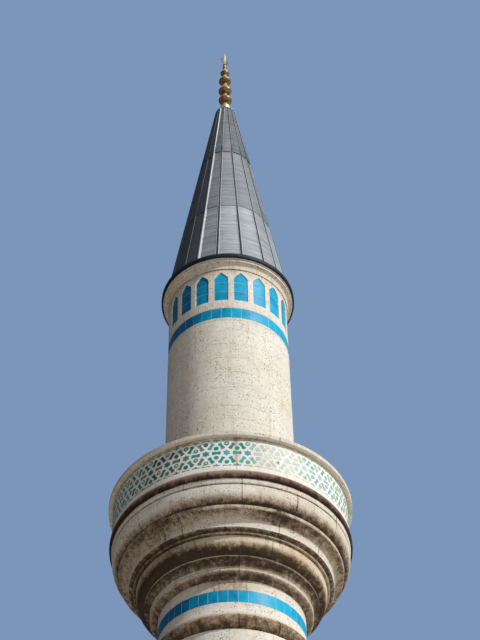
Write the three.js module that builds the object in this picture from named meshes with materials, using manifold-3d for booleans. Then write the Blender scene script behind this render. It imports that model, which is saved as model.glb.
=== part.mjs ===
// A round stone minaret from ground level up, in millimetres, +Z up.
// Origin: on the ground, on the tower's axis. The front, with the doorway, faces -Y.
import * as THREE from 'three';
import { ConvexGeometry } from 'three/addons/geometries/ConvexGeometry.js';
import { mergeVertices } from 'three/addons/utils/BufferGeometryUtils.js';
import Module from 'manifold-3d';

// Driving dimensions
const GAP = 0.3; // clearance between two pieces that touch
const FACETS = 32; // sides of a round piece
const NICHES = 19; // tiled niches around the frieze
const FRIEZE_FACETS = 2 * NICHES;
const NICHE_TURN = -6.2; // degrees from the front to the first niche's centre
const PARAPET_PANELS = 8;
const PANEL_TURN = 21.5; // degrees from the front to a joint between two panels

const BASE_HALF = 1700; // half the side of the square base
const BASE_WALL = 650;
const BASE_TOP = 5200;
const PLINTH_HALF = 1850;
const PLINTH_TOP = 600;
const FLOOR_TOP = 200;
const DOOR_WIDTH = 860;
const DOOR_SPRING = 1950;
const DOOR_APEX = 2480;
const BASE_CORNICE_TOP = 5460;
const TRANSITION_TOP = 8000;
const TRANSITION_FOOT_HALF = 1640;
const TRANSITION_HEAD_RADIUS = 1380;

const LOWER_BORE = 920; // inside radius below the balcony
const UPPER_BORE = 850; // inside radius above the balcony
const SHAFT_FOOT_RADIUS = 1340;
const SHAFT_HEAD_RADIUS = 1305;
const SHAFT_FOOT = 8300;
const SHAFT_HEAD = 18228;
const NECK_RADIUS = 1248; // the neck that carries the lower tile band
const UPPER_FOOT_RADIUS = 1195; // the shaft above the balcony
const UPPER_HEAD_RADIUS = 1170;
const FRIEZE_RADIUS = 1168;
const TILE_THICKNESS = 25;

const COLLAR_TOP = 18528;
const LOWER_BAND = [18795, 19034]; // foot and head of the lower tile band
const CORBEL_FOOT = 19240;
const OVOLO_FOOT = 19565;
const OVOLO_HEAD = 19888;
const COVE_HEAD = 20266;
const DECK_FOOT = 20611;
const DECK_TOP = 20760;
const RIM_TOP = 20969;
const PARAPET_TOP = 21600;
const CAP_TOP = 21684;
const PARAPET_INSIDE = 1955;
const PARAPET_FACE = 2082;

const BALCONY_DOOR_WIDTH = 620;
const BALCONY_DOOR_TOP = 22460;
const BALCONY_DOOR_SILL = 20860;
const UPPER_SHAFT_JOINT = 22600;
const FRIEZE_FOOT = 25430;
const UPPER_BAND = [25505, 25768];
const NICHE_FOOT = 25992;
const NICHE_SHOULDER = 26622;
const NICHE_APEX = 26782;
const NICHE_WIDTH = 275;
const NICHE_DEPTH = 40;
const FRIEZE_TOP = 26846;
const CORNICE_TOP = 27046;
const EAVE_RADIUS = 1327;
const ROOF_FOOT = 27165;
const ROOF_LAPS = [29173, 31385]; // where one course of lead laps over the next
const ROOF_SHOULDER = 33330;
const ROOF_TOP = 33490;
const ROOF_FOOT_RADIUS = 1232;
const ROOF_SHOULDER_RADIUS = 222;
const ROOF_THICKNESS = 60;
const LAP_STEP = 8;
const COLLAR_HEAD = 33775;
// Each bead's widest ring: [height, radius]
const BEADS = [[33875, 152], [34225, 150], [34605, 141], [34915, 103], [35132, 52], [35245, 44]];
const BEAD_NECK = 35;
const STEM_TOP = 35290;
const CRESCENT_CENTRE = 35405;
const CRESCENT_RADIUS = 100;
const CRESCENT_TURN = 40; // degrees
const FINIAL_TOP = 35740;

const wasm = await Module();
wasm.setup();

const stone = { color: 0xcfc8b4, roughness: 0.9, metalness: 0 };
const darkStone = { color: 0x8a7a6a, roughness: 0.95, metalness: 0 };
const turquoise = { color: 0x1b93b8, roughness: 0.2, metalness: 0 };
const lead = { color: 0x8d959a, roughness: 0.55, metalness: 0.6 };
const gilt = { color: 0xc7a258, roughness: 0.35, metalness: 0.9 };

const minaret = new THREE.Group();

function addNode(name, geometry, finish) {
  const mesh = new THREE.Mesh(geometry, new THREE.MeshStandardMaterial(finish));
  mesh.name = name;
  minaret.add(mesh);
}

// Joining and cutting
function toSolid(geometry) {
  const bare = geometry.clone();
  bare.deleteAttribute('normal');
  bare.deleteAttribute('uv');
  const merged = mergeVertices(bare, 1e-3);
  const mesh = new wasm.Mesh({
    numProp: 3,
    vertProperties: Float32Array.from(merged.attributes.position.array),
    triVerts: Uint32Array.from(merged.index.array),
  });
  return new wasm.Manifold(mesh);
}

function toGeometry(solid) {
  const mesh = solid.getMesh();
  const geometry = new THREE.BufferGeometry();
  geometry.setAttribute('position', new THREE.BufferAttribute(mesh.vertProperties, 3));
  geometry.setIndex(new THREE.BufferAttribute(mesh.triVerts, 1));
  geometry.computeVertexNormals();
  return geometry;
}

// A box given by its lowest and highest corners
function block(low, high) {
  const size = high.map((value, axis) => value - low[axis]);
  const box = new THREE.BoxGeometry(...size);
  box.translate(...high.map((value, axis) => (value + low[axis]) / 2));
  return box;
}

// Rings: a profile is a closed outline of [radius, height] points, outside going up
function turned(profile, facets = FACETS, turnDegrees = 180 / FACETS) {
  const outline = profile.map(([radius, height]) => new THREE.Vector2(radius, height));
  if (THREE.ShapeUtils.isClockWise(outline)) outline.reverse();
  outline.push(outline[0].clone());
  const turn = THREE.MathUtils.degToRad(turnDegrees);
  return new THREE.LatheGeometry(outline, facets, turn).rotateX(Math.PI / 2);
}

function frieze(profile) {
  return turned(profile, FRIEZE_FACETS, NICHE_TURN);
}

// A square ring: the profile's radii are half sides
function squareRing(profile) {
  const corners = profile.map(([half, height]) => [half * Math.SQRT2, height]);
  return turned(corners, 4, 45);
}

// A quarter of an ellipse between two points, bulging away from the given corner
function quarter(start, end, corner, steps = 4) {
  const points = [];
  for (let step = 0; step <= steps; step++) {
    const angle = (step / steps) * (Math.PI / 2);
    points.push([0, 1].map((axis) => corner[axis]
      + (start[axis] - corner[axis]) * Math.cos(angle)
      + (end[axis] - corner[axis]) * Math.sin(angle)));
  }
  return points;
}

// A half round between two heights that stands out from a radius
function halfRound(radius, foot, head, swell, steps = 5) {
  const points = [];
  for (let step = 0; step <= steps; step++) {
    const angle = (step / steps) * Math.PI;
    const height = (foot + head) / 2 - ((head - foot) / 2) * Math.cos(angle);
    points.push([radius + swell * Math.sin(angle), height]);
  }
  return points;
}

// The part of a ring between two angles, in degrees from the front towards +X
function sector(ring, from, to) {
  const reach = 5000;
  const height = 40000;
  const outline = [new THREE.Vector2(0, 0)];
  for (let step = 0; step <= 4; step++) {
    const angle = THREE.MathUtils.degToRad(from + ((to - from) * step) / 4);
    outline.push(new THREE.Vector2(reach * Math.sin(angle), -reach * Math.cos(angle)));
  }
  const wedge = new THREE.ExtrudeGeometry(new THREE.Shape(outline), { depth: height, bevelEnabled: false });
  const middle = THREE.MathUtils.degToRad((from + to) / 2);
  const shift = GAP / 2 / Math.sin(THREE.MathUtils.degToRad((to - from) / 2));
  wedge.translate(shift * Math.sin(middle), -shift * Math.cos(middle), 0);
  return toSolid(ring).intersect(toSolid(wedge));
}

// Square base
function addBase() {
  const inner = BASE_HALF - BASE_WALL;
  const doorHalf = DOOR_WIDTH / 2;
  const doorGap = toSolid(block([-doorHalf, -2000, -100], [doorHalf, -1500, PLINTH_TOP + 100]));
  const plinth = squareRing([
    [BASE_HALF + GAP, 0], [PLINTH_HALF, 0], [PLINTH_HALF, PLINTH_TOP - 90],
    [PLINTH_HALF - 70, PLINTH_TOP], [BASE_HALF + GAP, PLINTH_TOP],
  ]);
  addNode('base_plinth', toGeometry(toSolid(plinth).subtract(doorGap)), stone);
  addNode('front_wall_left', block([-BASE_HALF, -BASE_HALF, 0], [-doorHalf, -inner, BASE_TOP]), stone);
  addNode('front_wall_right', block([doorHalf, -BASE_HALF, 0], [BASE_HALF, -inner, BASE_TOP]), stone);
  addNode('back_wall', block([-BASE_HALF, inner, 0], [BASE_HALF, BASE_HALF, BASE_TOP]), stone);
  const sideLength = inner - GAP;
  addNode('left_wall', block([-BASE_HALF, -sideLength, 0], [-inner, sideLength, BASE_TOP]), stone);
  addNode('right_wall', block([inner, -sideLength, 0], [BASE_HALF, sideLength, BASE_TOP]), stone);
  addDoorHead(doorHalf - GAP);
  addGroundFloor(inner - GAP, doorHalf - GAP);
  addNode('base_cornice', squareRing([
    [inner, BASE_TOP + GAP], [BASE_HALF + 5, BASE_TOP + GAP], [BASE_HALF + 25, BASE_TOP + 60],
    ...quarter([BASE_HALF + 25, BASE_TOP + 60], [BASE_HALF + 95, BASE_TOP + 190],
      [BASE_HALF + 95, BASE_TOP + 60], 3).slice(1),
    [BASE_HALF + 95, BASE_CORNICE_TOP], [inner, BASE_CORNICE_TOP],
  ]), stone);
}

// Wall over the doorway, with the pointed arch cut in its underside
function addDoorHead(half) {
  const outline = new THREE.Shape();
  outline.moveTo(half, DOOR_SPRING);
  outline.lineTo(half, BASE_TOP);
  outline.lineTo(-half, BASE_TOP);
  outline.lineTo(-half, DOOR_SPRING);
  outline.quadraticCurveTo(-half * 0.92, DOOR_APEX - 190, 0, DOOR_APEX);
  outline.quadraticCurveTo(half * 0.92, DOOR_APEX - 190, half, DOOR_SPRING);
  const options = { depth: BASE_WALL, bevelEnabled: false, curveSegments: 5 };
  const head = new THREE.ExtrudeGeometry(outline, options);
  head.rotateX(Math.PI / 2).translate(0, -BASE_HALF + BASE_WALL, 0);
  addNode('front_wall_over_door', head, stone);
}

// Floor of the base, with a tongue that is the doorway's sill
function addGroundFloor(half, doorHalf) {
  const outline = new THREE.Shape([
    new THREE.Vector2(-half, -half), new THREE.Vector2(-doorHalf, -half),
    new THREE.Vector2(-doorHalf, -PLINTH_HALF), new THREE.Vector2(doorHalf, -PLINTH_HALF),
    new THREE.Vector2(doorHalf, -half), new THREE.Vector2(half, -half),
    new THREE.Vector2(half, half), new THREE.Vector2(-half, half),
  ]);
  const floor = new THREE.ExtrudeGeometry(outline, { depth: FLOOR_TOP, bevelEnabled: false });
  addNode('ground_floor', floor, stone);
}

// Square at the foot, round at the head, bored through
function addTransition() {
  const foot = BASE_CORNICE_TOP + GAP;
  const points = [];
  for (const [x, y] of [[1, 1], [1, -1], [-1, -1], [-1, 1]]) {
    points.push(new THREE.Vector3(x * TRANSITION_FOOT_HALF, y * TRANSITION_FOOT_HALF, foot));
    points.push(new THREE.Vector3(x * TRANSITION_FOOT_HALF, y * TRANSITION_FOOT_HALF, foot + 150));
  }
  for (let step = 0; step < FACETS; step++) {
    const angle = ((step + 0.5) * 2 * Math.PI) / FACETS;
    const x = TRANSITION_HEAD_RADIUS * Math.cos(angle);
    const y = TRANSITION_HEAD_RADIUS * Math.sin(angle);
    points.push(new THREE.Vector3(x, y, TRANSITION_TOP - 150));
    points.push(new THREE.Vector3(x, y, TRANSITION_TOP));
  }
  const length = TRANSITION_TOP - foot + 200;
  const bore = new THREE.CylinderGeometry(LOWER_BORE, LOWER_BORE, length, FACETS);
  bore.rotateX(Math.PI / 2).rotateZ(Math.PI / FACETS).translate(0, 0, (foot + TRANSITION_TOP) / 2);
  const solid = toSolid(new ConvexGeometry(points)).subtract(toSolid(bore));
  addNode('square_to_round_base', toGeometry(solid), stone);
}

// Round shaft up to the neck
function addLowerShaft() {
  addNode('shaft_foot_moulding', turned([
    [LOWER_BORE, TRANSITION_TOP + GAP], [TRANSITION_HEAD_RADIUS, TRANSITION_TOP + GAP],
    ...halfRound(TRANSITION_HEAD_RADIUS, TRANSITION_TOP + 20, SHAFT_FOOT - 60, 85),
    [SHAFT_FOOT_RADIUS + 20, SHAFT_FOOT - 50], [SHAFT_FOOT_RADIUS + 20, SHAFT_FOOT],
    [LOWER_BORE, SHAFT_FOOT],
  ]), stone);
  const shaft = turned([
    [LOWER_BORE, SHAFT_FOOT + GAP], [SHAFT_FOOT_RADIUS, SHAFT_FOOT + GAP],
    [SHAFT_HEAD_RADIUS, SHAFT_HEAD], [LOWER_BORE, SHAFT_HEAD],
  ]);
  addNode('lower_shaft_right', toGeometry(sector(shaft, 0, 180)), stone);
  addNode('lower_shaft_left', toGeometry(sector(shaft, 180, 360)), stone);
  addNode('shaft_collar_moulding', turned([
    [LOWER_BORE, SHAFT_HEAD + GAP], [SHAFT_HEAD_RADIUS, SHAFT_HEAD + GAP],
    ...halfRound(SHAFT_HEAD_RADIUS + 5, SHAFT_HEAD + 10, COLLAR_TOP - 30, 75),
    [SHAFT_HEAD_RADIUS + 15, COLLAR_TOP - 25], [SHAFT_HEAD_RADIUS + 15, COLLAR_TOP],
    [LOWER_BORE, COLLAR_TOP],
  ]), darkStone);
}

// Neck with its recessed ring of turquoise tiles
function addNeck() {
  const [bandFoot, bandHead] = LOWER_BAND;
  const recess = NECK_RADIUS - TILE_THICKNESS - GAP;
  addNode('neck_wall', turned([
    [LOWER_BORE, COLLAR_TOP + GAP], [SHAFT_HEAD_RADIUS - 15, COLLAR_TOP + GAP],
    [NECK_RADIUS + 14, COLLAR_TOP + 90], [NECK_RADIUS, COLLAR_TOP + 190],
    [NECK_RADIUS, bandFoot - GAP], [recess, bandFoot - GAP],
    [recess, bandHead + GAP], [NECK_RADIUS, bandHead + GAP],
    [NECK_RADIUS, CORBEL_FOOT], [LOWER_BORE, CORBEL_FOOT],
  ]), stone);
  addNode('lower_tile_band', turned([
    [recess + GAP, bandFoot], [NECK_RADIUS, bandFoot], [NECK_RADIUS, bandHead], [recess + GAP, bandHead],
  ]), turquoise);
}

// Moulded courses that carry the balcony out, from the lowest up
function addCorbels() {
  addNode('corbel_astragal_and_cove', turned([
    [LOWER_BORE, CORBEL_FOOT + GAP], [NECK_RADIUS + 8, CORBEL_FOOT + GAP], [1299, 19292],
    ...halfRound(1328, 19295, 19393, 58, 5), [1373, 19403],
    ...quarter([1388, 19414], [1485, 19519], [1485, 19414], 3),
    [1485, OVOLO_FOOT], [LOWER_BORE, OVOLO_FOOT],
  ]), stone);
  addNode('corbel_small_ovolo', turned([
    [LOWER_BORE, OVOLO_FOOT + GAP], [1497, OVOLO_FOOT + GAP],
    ...quarter([1510, OVOLO_FOOT + 6], [1633, 19847], [1510, 19847], 5),
    [1633, 19865], [1680, 19871], [1684, OVOLO_HEAD], [LOWER_BORE, OVOLO_HEAD],
  ]), darkStone);
  addNode('corbel_cove', turned([
    [LOWER_BORE, OVOLO_HEAD + GAP], [1691, OVOLO_HEAD + GAP], [1696, 19928], [1755, 19940], [1755, 19974],
    ...quarter([1759, 19980], [1913, 20181], [1913, 19980], 4),
    [1940, 20193], [1946, 20248], [1932, 20254], [1932, COVE_HEAD], [LOWER_BORE, COVE_HEAD],
  ]), stone);
  addNode('corbel_large_ovolo', turned([
    [UPPER_BORE - 50, COVE_HEAD + GAP], [1932, COVE_HEAD + GAP],
    ...quarter([1939, 20283], [2068, 20558], [1939, 20558], 5),
    [2068, 20580], [2054, 20588], [2054, DECK_FOOT], [UPPER_BORE - 50, DECK_FOOT],
  ]), stone);
}

// Deck, rim, landing, parapet and its cap
function addBalcony() {
  addNode('balcony_rim_moulding', turned([
    [PARAPET_INSIDE, DECK_FOOT + GAP], [2064, DECK_FOOT + GAP], [2074, 20625], [2078, 20676], [2086, 20702],
    ...halfRound(2098, 20708, 20862, 26, 5),
    [PARAPET_FACE + 10, 20870], [PARAPET_FACE + 10, RIM_TOP], [PARAPET_INSIDE, RIM_TOP],
  ]), darkStone);
  addNode('balcony_deck', turned([
    [UPPER_BORE, DECK_FOOT + GAP], [PARAPET_INSIDE - 2, DECK_FOOT + GAP],
    [PARAPET_INSIDE - 2, DECK_TOP], [UPPER_BORE, DECK_TOP],
  ]), stone);
  addLanding();
  const wall = turned([
    [PARAPET_INSIDE, RIM_TOP + GAP], [PARAPET_FACE, RIM_TOP + GAP], [PARAPET_FACE, PARAPET_TOP - 22],
    [PARAPET_FACE + 14, PARAPET_TOP - 14], [PARAPET_FACE + 14, PARAPET_TOP], [PARAPET_INSIDE, PARAPET_TOP],
  ], FACETS, PANEL_TURN + 180 / FACETS);
  const panelAngle = 360 / PARAPET_PANELS;
  for (let panel = 0; panel < PARAPET_PANELS; panel++) {
    const start = PANEL_TURN + panel * panelAngle;
    addNode(`parapet_panel_${panel + 1}`, toGeometry(sector(wall, start, start + panelAngle)), stone);
  }
  addNode('parapet_cap', turned([
    [PARAPET_INSIDE - 30, PARAPET_TOP + GAP], [PARAPET_FACE + 30, PARAPET_TOP + GAP], [2158, 21606],
    [2164, 21613], [2168, CAP_TOP - 8], [2160, CAP_TOP], [PARAPET_INSIDE - 30, CAP_TOP],
  ]), stone);
}

// Landing inside the shaft at the deck's level, with an opening for the way up
function addLanding() {
  const radius = UPPER_BORE * Math.cos(Math.PI / FACETS) - 3 * GAP;
  const outline = new THREE.Shape().absarc(0, 0, radius, 0, 2 * Math.PI);
  outline.holes.push(new THREE.Path([
    new THREE.Vector2(-620, -450), new THREE.Vector2(-620, 250),
    new THREE.Vector2(-20, 250), new THREE.Vector2(-20, -450),
  ]));
  const depth = DECK_TOP - DECK_FOOT - GAP;
  const landing = new THREE.ExtrudeGeometry(outline, { depth, bevelEnabled: false, curveSegments: FACETS });
  landing.translate(0, 0, DECK_FOOT + GAP);
  addNode('landing', landing, stone);
}

// Shaft above the balcony; the doorway to the deck is at the back
function addUpperShaft() {
  const taper = (UPPER_FOOT_RADIUS - UPPER_HEAD_RADIUS) / (FRIEZE_FOOT - DECK_TOP);
  const jointRadius = UPPER_FOOT_RADIUS - taper * (UPPER_SHAFT_JOINT - DECK_TOP);
  const storey = turned([
    [UPPER_BORE, DECK_TOP + GAP], [UPPER_FOOT_RADIUS, DECK_TOP + GAP],
    [jointRadius, UPPER_SHAFT_JOINT], [UPPER_BORE, UPPER_SHAFT_JOINT],
  ]);
  const doorHalf = BALCONY_DOOR_WIDTH / 2;
  const doorway = toSolid(block([-doorHalf, 0, BALCONY_DOOR_SILL], [doorHalf, 2000, BALCONY_DOOR_TOP]));
  addNode('upper_shaft_right', toGeometry(sector(storey, 0, 180).subtract(doorway)), stone);
  addNode('upper_shaft_left', toGeometry(sector(storey, 180, 360).subtract(doorway)), stone);
  addNode('upper_shaft_drum', turned([
    [UPPER_BORE, UPPER_SHAFT_JOINT + GAP], [jointRadius, UPPER_SHAFT_JOINT + GAP],
    [UPPER_HEAD_RADIUS, FRIEZE_FOOT], [UPPER_BORE, FRIEZE_FOOT],
  ]), stone);
}

// Frieze: a tile band, and a pierced stone ring with tiles behind it
function addFrieze() {
  const [bandFoot, bandHead] = UPPER_BAND;
  const bandSeat = FRIEZE_RADIUS - TILE_THICKNESS - GAP;
  const nicheBack = FRIEZE_RADIUS - NICHE_DEPTH;
  const tileSeat = nicheBack - TILE_THICKNESS;
  addNode('frieze_wall', frieze([
    [UPPER_BORE, FRIEZE_FOOT + GAP], [FRIEZE_RADIUS, FRIEZE_FOOT + GAP], [FRIEZE_RADIUS, bandFoot - GAP],
    [bandSeat, bandFoot - GAP], [bandSeat, bandHead], [tileSeat - GAP, bandHead],
    [tileSeat - GAP, FRIEZE_TOP], [UPPER_BORE, FRIEZE_TOP],
  ]), stone);
  addNode('upper_tile_band', frieze([
    [bandSeat + GAP, bandFoot], [FRIEZE_RADIUS, bandFoot],
    [FRIEZE_RADIUS, bandHead], [bandSeat + GAP, bandHead],
  ]), turquoise);
  addNode('niche_tiles', frieze([
    [tileSeat, bandHead + GAP], [nicheBack - GAP, bandHead + GAP],
    [nicheBack - GAP, FRIEZE_TOP], [tileSeat, FRIEZE_TOP],
  ]), turquoise);
  const foot = bandHead + GAP;
  let arcade = toSolid(frieze([
    [nicheBack, foot], [FRIEZE_RADIUS, foot], [FRIEZE_RADIUS, FRIEZE_TOP], [nicheBack, FRIEZE_TOP],
  ]));
  for (let niche = 0; niche < NICHES; niche++) {
    arcade = arcade.subtract(toSolid(nicheCutter(NICHE_TURN + (niche * 360) / NICHES)));
  }
  addNode('niche_arcade', toGeometry(arcade), stone);
}

// A prism with a straight-sided pointed head, which cuts one niche
function nicheCutter(turnDegrees) {
  const half = NICHE_WIDTH / 2;
  const outline = new THREE.Shape([
    new THREE.Vector2(-half, NICHE_FOOT), new THREE.Vector2(half, NICHE_FOOT),
    new THREE.Vector2(half, NICHE_SHOULDER), new THREE.Vector2(0, NICHE_APEX),
    new THREE.Vector2(-half, NICHE_SHOULDER),
  ]);
  const cutter = new THREE.ExtrudeGeometry(outline, { depth: 200, bevelEnabled: false });
  cutter.rotateX(Math.PI / 2).translate(0, -(FRIEZE_RADIUS - NICHE_DEPTH) + 50, 0);
  return cutter.rotateZ(THREE.MathUtils.degToRad(turnDegrees));
}

// Cornice, eave and the three courses of the lead roof
function addRoof() {
  addNode('cornice', turned([
    [UPPER_BORE, FRIEZE_TOP + GAP], [1182, FRIEZE_TOP + GAP], [1189, 26862],
    ...quarter([1193, 26870], [1258, 26990], [1258, 26870], 4),
    [1271, 26998], [1271, 27038], [1262, CORNICE_TOP], [UPPER_BORE, CORNICE_TOP],
  ]), stone);
  addNode('eave_rim', turned([
    [UPPER_BORE + 60, CORNICE_TOP + GAP], [1317, CORNICE_TOP + GAP], [1318, CORNICE_TOP + 14],
    [EAVE_RADIUS, CORNICE_TOP + 17], [EAVE_RADIUS, ROOF_FOOT - 12], [1316, ROOF_FOOT],
    [UPPER_BORE + 60, ROOF_FOOT],
  ]), lead);
  const slope = (ROOF_FOOT_RADIUS - ROOF_SHOULDER_RADIUS) / (ROOF_SHOULDER - ROOF_FOOT);
  const radiusAt = (height) => ROOF_FOOT_RADIUS - slope * (height - ROOF_FOOT);
  const course = (foot, head) => [
    [radiusAt(foot) - ROOF_THICKNESS, foot + GAP], [radiusAt(foot) + LAP_STEP, foot + GAP],
    [radiusAt(head), head], [radiusAt(head) - ROOF_THICKNESS, head],
  ];
  addNode('roof_lower_course', turned(course(ROOF_FOOT, ROOF_LAPS[0])), lead);
  addNode('roof_middle_course', turned(course(...ROOF_LAPS)), lead);
  addNode('roof_upper_course', turned(course(ROOF_LAPS[1], ROOF_SHOULDER)), lead);
  addNode('roof_shoulder_cap', turned([
    [ROOF_SHOULDER_RADIUS - ROOF_THICKNESS, ROOF_SHOULDER + GAP],
    [ROOF_SHOULDER_RADIUS + LAP_STEP, ROOF_SHOULDER + GAP],
    [231, 33345], [224, 33372], [196, 33408], [150, 33450], [112, 33482], [106, ROOF_TOP], [50, ROOF_TOP],
    [50, 33420],
  ]), lead);
}

// Gilded finial: collar, a stem of beads, and a crescent with a spike
function addFinial() {
  const solidOf = (profile) => {
    const outline = profile.map(([radius, height]) => new THREE.Vector2(radius, height));
    return new THREE.LatheGeometry(outline, 14).rotateX(Math.PI / 2);
  };
  addNode('finial_collar', solidOf([
    [0, ROOF_TOP + GAP], [94, ROOF_TOP + GAP], [104, 33545], [107, 33610], [102, 33640],
    [76, 33677], [55, 33716], [BEAD_NECK + 4, COLLAR_HEAD], [0, COLLAR_HEAD],
  ]), gilt);
  const stem = [[0, COLLAR_HEAD + GAP], [BEAD_NECK, COLLAR_HEAD + GAP]];
  BEADS.forEach(([height, radius], bead) => {
    const next = BEADS[bead + 1];
    const head = next ? next[0] - next[1] / 2 : STEM_TOP;
    stem.push(...beadOutline(height, radius, head));
  });
  stem.push([0, STEM_TOP]);
  addNode('finial_beads', solidOf(stem), gilt);
  addCrescent();
}

// A bead with a bowl-shaped underside and a steep bell on top that ends in a neck
function beadOutline(widest, radius, head) {
  const neck = Math.min(BEAD_NECK, radius * 0.6);
  const shoulder = widest + radius * 0.18;
  return [
    [neck, widest - radius / 2],
    [neck + (radius - neck) * 0.55, widest - radius * 0.4],
    [neck + (radius - neck) * 0.9, widest - radius * 0.18],
    [radius, widest],
    [radius * 0.95, shoulder],
    [neck + (radius - neck) * 0.4, shoulder + (head - shoulder) * 0.4],
    [neck, head - 4],
  ];
}

// Horns up, with a spike through the middle
function addCrescent() {
  const thickness = 26;
  const opening = THREE.MathUtils.degToRad(40);
  const up = Math.PI / 2;
  const outline = new THREE.Shape();
  outline.absarc(0, CRESCENT_CENTRE, CRESCENT_RADIUS, up + opening, up - opening + 2 * Math.PI, false);
  outline.absarc(0, CRESCENT_CENTRE + 18, CRESCENT_RADIUS - 36, up - opening, up + opening, true);
  const options = { depth: thickness, bevelEnabled: false, curveSegments: 14 };
  const ring = new THREE.ExtrudeGeometry(outline, options);
  ring.rotateX(Math.PI / 2).translate(0, thickness / 2, 0);
  const foot = STEM_TOP + GAP;
  const spike = new THREE.LatheGeometry([
    new THREE.Vector2(0, foot), new THREE.Vector2(24, foot), new THREE.Vector2(15, foot + 70),
    new THREE.Vector2(19, CRESCENT_CENTRE + 110), new THREE.Vector2(0, FINIAL_TOP),
  ], 10).rotateX(Math.PI / 2);
  const crescent = toSolid(ring).add(toSolid(spike)).rotate([0, 0, CRESCENT_TURN]);
  addNode('finial_crescent', toGeometry(crescent), gilt);
}

addBase();
addTransition();
addLowerShaft();
addNeck();
addCorbels();
addBalcony();
addUpperShaft();
addFrieze();
addRoof();
addFinial();

export default minaret;
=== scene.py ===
import functools
import math

import bmesh
import bpy
import numpy as np
from mathutils import Matrix, Vector


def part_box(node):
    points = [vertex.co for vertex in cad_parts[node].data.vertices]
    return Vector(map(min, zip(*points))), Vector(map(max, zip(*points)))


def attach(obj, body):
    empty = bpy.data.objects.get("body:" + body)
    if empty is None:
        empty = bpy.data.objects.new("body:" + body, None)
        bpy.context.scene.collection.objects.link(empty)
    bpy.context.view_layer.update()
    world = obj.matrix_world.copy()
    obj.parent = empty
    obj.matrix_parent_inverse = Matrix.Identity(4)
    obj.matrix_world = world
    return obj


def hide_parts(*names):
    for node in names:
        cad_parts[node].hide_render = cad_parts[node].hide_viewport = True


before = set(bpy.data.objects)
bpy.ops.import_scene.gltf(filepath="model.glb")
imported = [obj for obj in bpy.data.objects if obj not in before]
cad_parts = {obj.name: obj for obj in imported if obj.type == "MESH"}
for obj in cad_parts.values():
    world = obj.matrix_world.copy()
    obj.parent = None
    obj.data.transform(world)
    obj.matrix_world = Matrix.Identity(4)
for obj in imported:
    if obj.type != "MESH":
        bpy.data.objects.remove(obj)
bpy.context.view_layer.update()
dice = np.random.default_rng(11)

# What the frame gives
FACETS = 32  # sides of a round CAD node
BOXES = {node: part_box(node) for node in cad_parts}


def foot(node):
    return BOXES[node][0].z


def head(node):
    return BOXES[node][1].z


def span(node):
    """Heights of a node's foot and head"""
    return foot(node), head(node)


def widest(node):
    """Radius of a round CAD node's corners, from its box"""
    return BOXES[node][1].x / math.cos(math.pi / FACETS)


# Radii and wall faces
LOWER_BORE = 0.92
UPPER_BORE = 0.85
SHAFT_FOOT = widest("lower_shaft_right")
SHAFT_HEAD = SHAFT_FOOT - 0.035
NECK_RADIUS = 1.248
UPPER_RADIUS = (1.195, 1.170)  # at the deck, below the frieze
FRIEZE_RADIUS = 1.168
PANEL_INSIDE = 1.955
PANEL_FACE = 2.082
BASE_HALF = BOXES["back_wall"][1].x
PLINTH_HALF = BOXES["base_plinth"][1].x
TRANSITION_FOOT_HALF = BOXES["square_to_round_base"][1].x
TRANSITION_HEAD_RADIUS = 1.38
CORNERS = (-135, -45, 45, 135, 225, 315, 405)  # angles of the square base's corners

# Doorways
DOOR_HALF = 0.43
DOOR_FRAME_HALF = 0.64
DOOR_SPRING = 1.95
DOOR_APEX = 2.48
DOOR_FRAME_TOP = 2.74
ARCH_HALF = DOOR_HALF - 0.0003  # the frame's stones reach just into the doorway
BALCONY_DOOR = (20.86, 22.46)  # sill, head
BALCONY_DOOR_HALF = 0.31
BALCONY_FRAME = 0.12  # width of its frame

# Stones
COURSE = 0.37  # usual height of a course of the shafts
JOINT = 0.0005  # half the gap between two dressed stones
CHAMFER = 0.0025
EDGE = 0.013  # how far a stone is darker along its joints
SECTION_STEP = 3.0  # most degrees between two sections of a stone
SLIVER = 0.8  # degrees; a stone's rest beside a doorway is left out below this
BASE_WALL = 0.65  # thickness of the base walls

# Tiles
TILE = 0.025
TILE_BEVEL = 0.002
TILE_PROUD = 0.002  # how far a band's tiles stand out of the stone
PLAY = 0.001  # gap between a band's tiles and the stone round them
GROUT = 0.0022  # half the gap between two tiles of a band
NICHE_GROUT = 0.009  # joints between a niche's tiles
NICHES = 19
NICHE_TURN = -6.2
NICHE_HALF = 0.1375
NICHE_FOOT = 25.992
NICHE_SHOULDER = 26.622
NICHE_APEX = 26.782
NICHE_JOINTS = (26.261, 26.511)  # heights of the joints between its tiles
NICHE_DEPTH = 0.04  # depth of the CAD niches
TILES_FORWARD = 0.026  # the photo shows tiles about 1.5 cm deep in the niches
UPPER_BAND_TILES = 38
LOWER_BAND_TILES = 47
LOWER_BAND_TURN = -21.8

# Star pattern of the parapet
STARS = 37
STAR_ROW = 21.271
STAR_TURN = -1.34  # a star's angle from the front
FIELD_FOOT = 20.985
FIELD_HEAD = 21.563
STAR_TIP = 0.072
HEXAGON = 0.045
REPAIR = (2.6, 5.2)  # angles of a patched strip that has lost most of its pieces

# Angles of the joints that the photo shows, filled up evenly round the back
PANEL_JOINTS = (-48, -25.5, 3, 23.5, 44)
LARGE_OVOLO_JOINTS = (-74, -49, -22, 5.5, 33, 60)
COVE_JOINTS = (-72, -38, -27, -3, 27, 56)
RIM_JOINTS = (-60, -10, 9, 43)
LEAD_SEAMS = (-60, -45, -28, -9.5, 13.5, 36.5, 54)
SEAM_COUNT = 18
UPPER_COURSES = (25.153, 24.806, 24.434, 24.062, 23.67, 23.208)  # joints seen below the frieze

# Camera, found from the photo's perspective
CAMERA_DISTANCE = 24.085
CAMERA_HEIGHT = 1.6
CAMERA_PITCH = 46.119
CAMERA_ROLL = -1.15
CAMERA_YAW = 0.565
CAMERA_LENS = 98.4375

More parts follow.
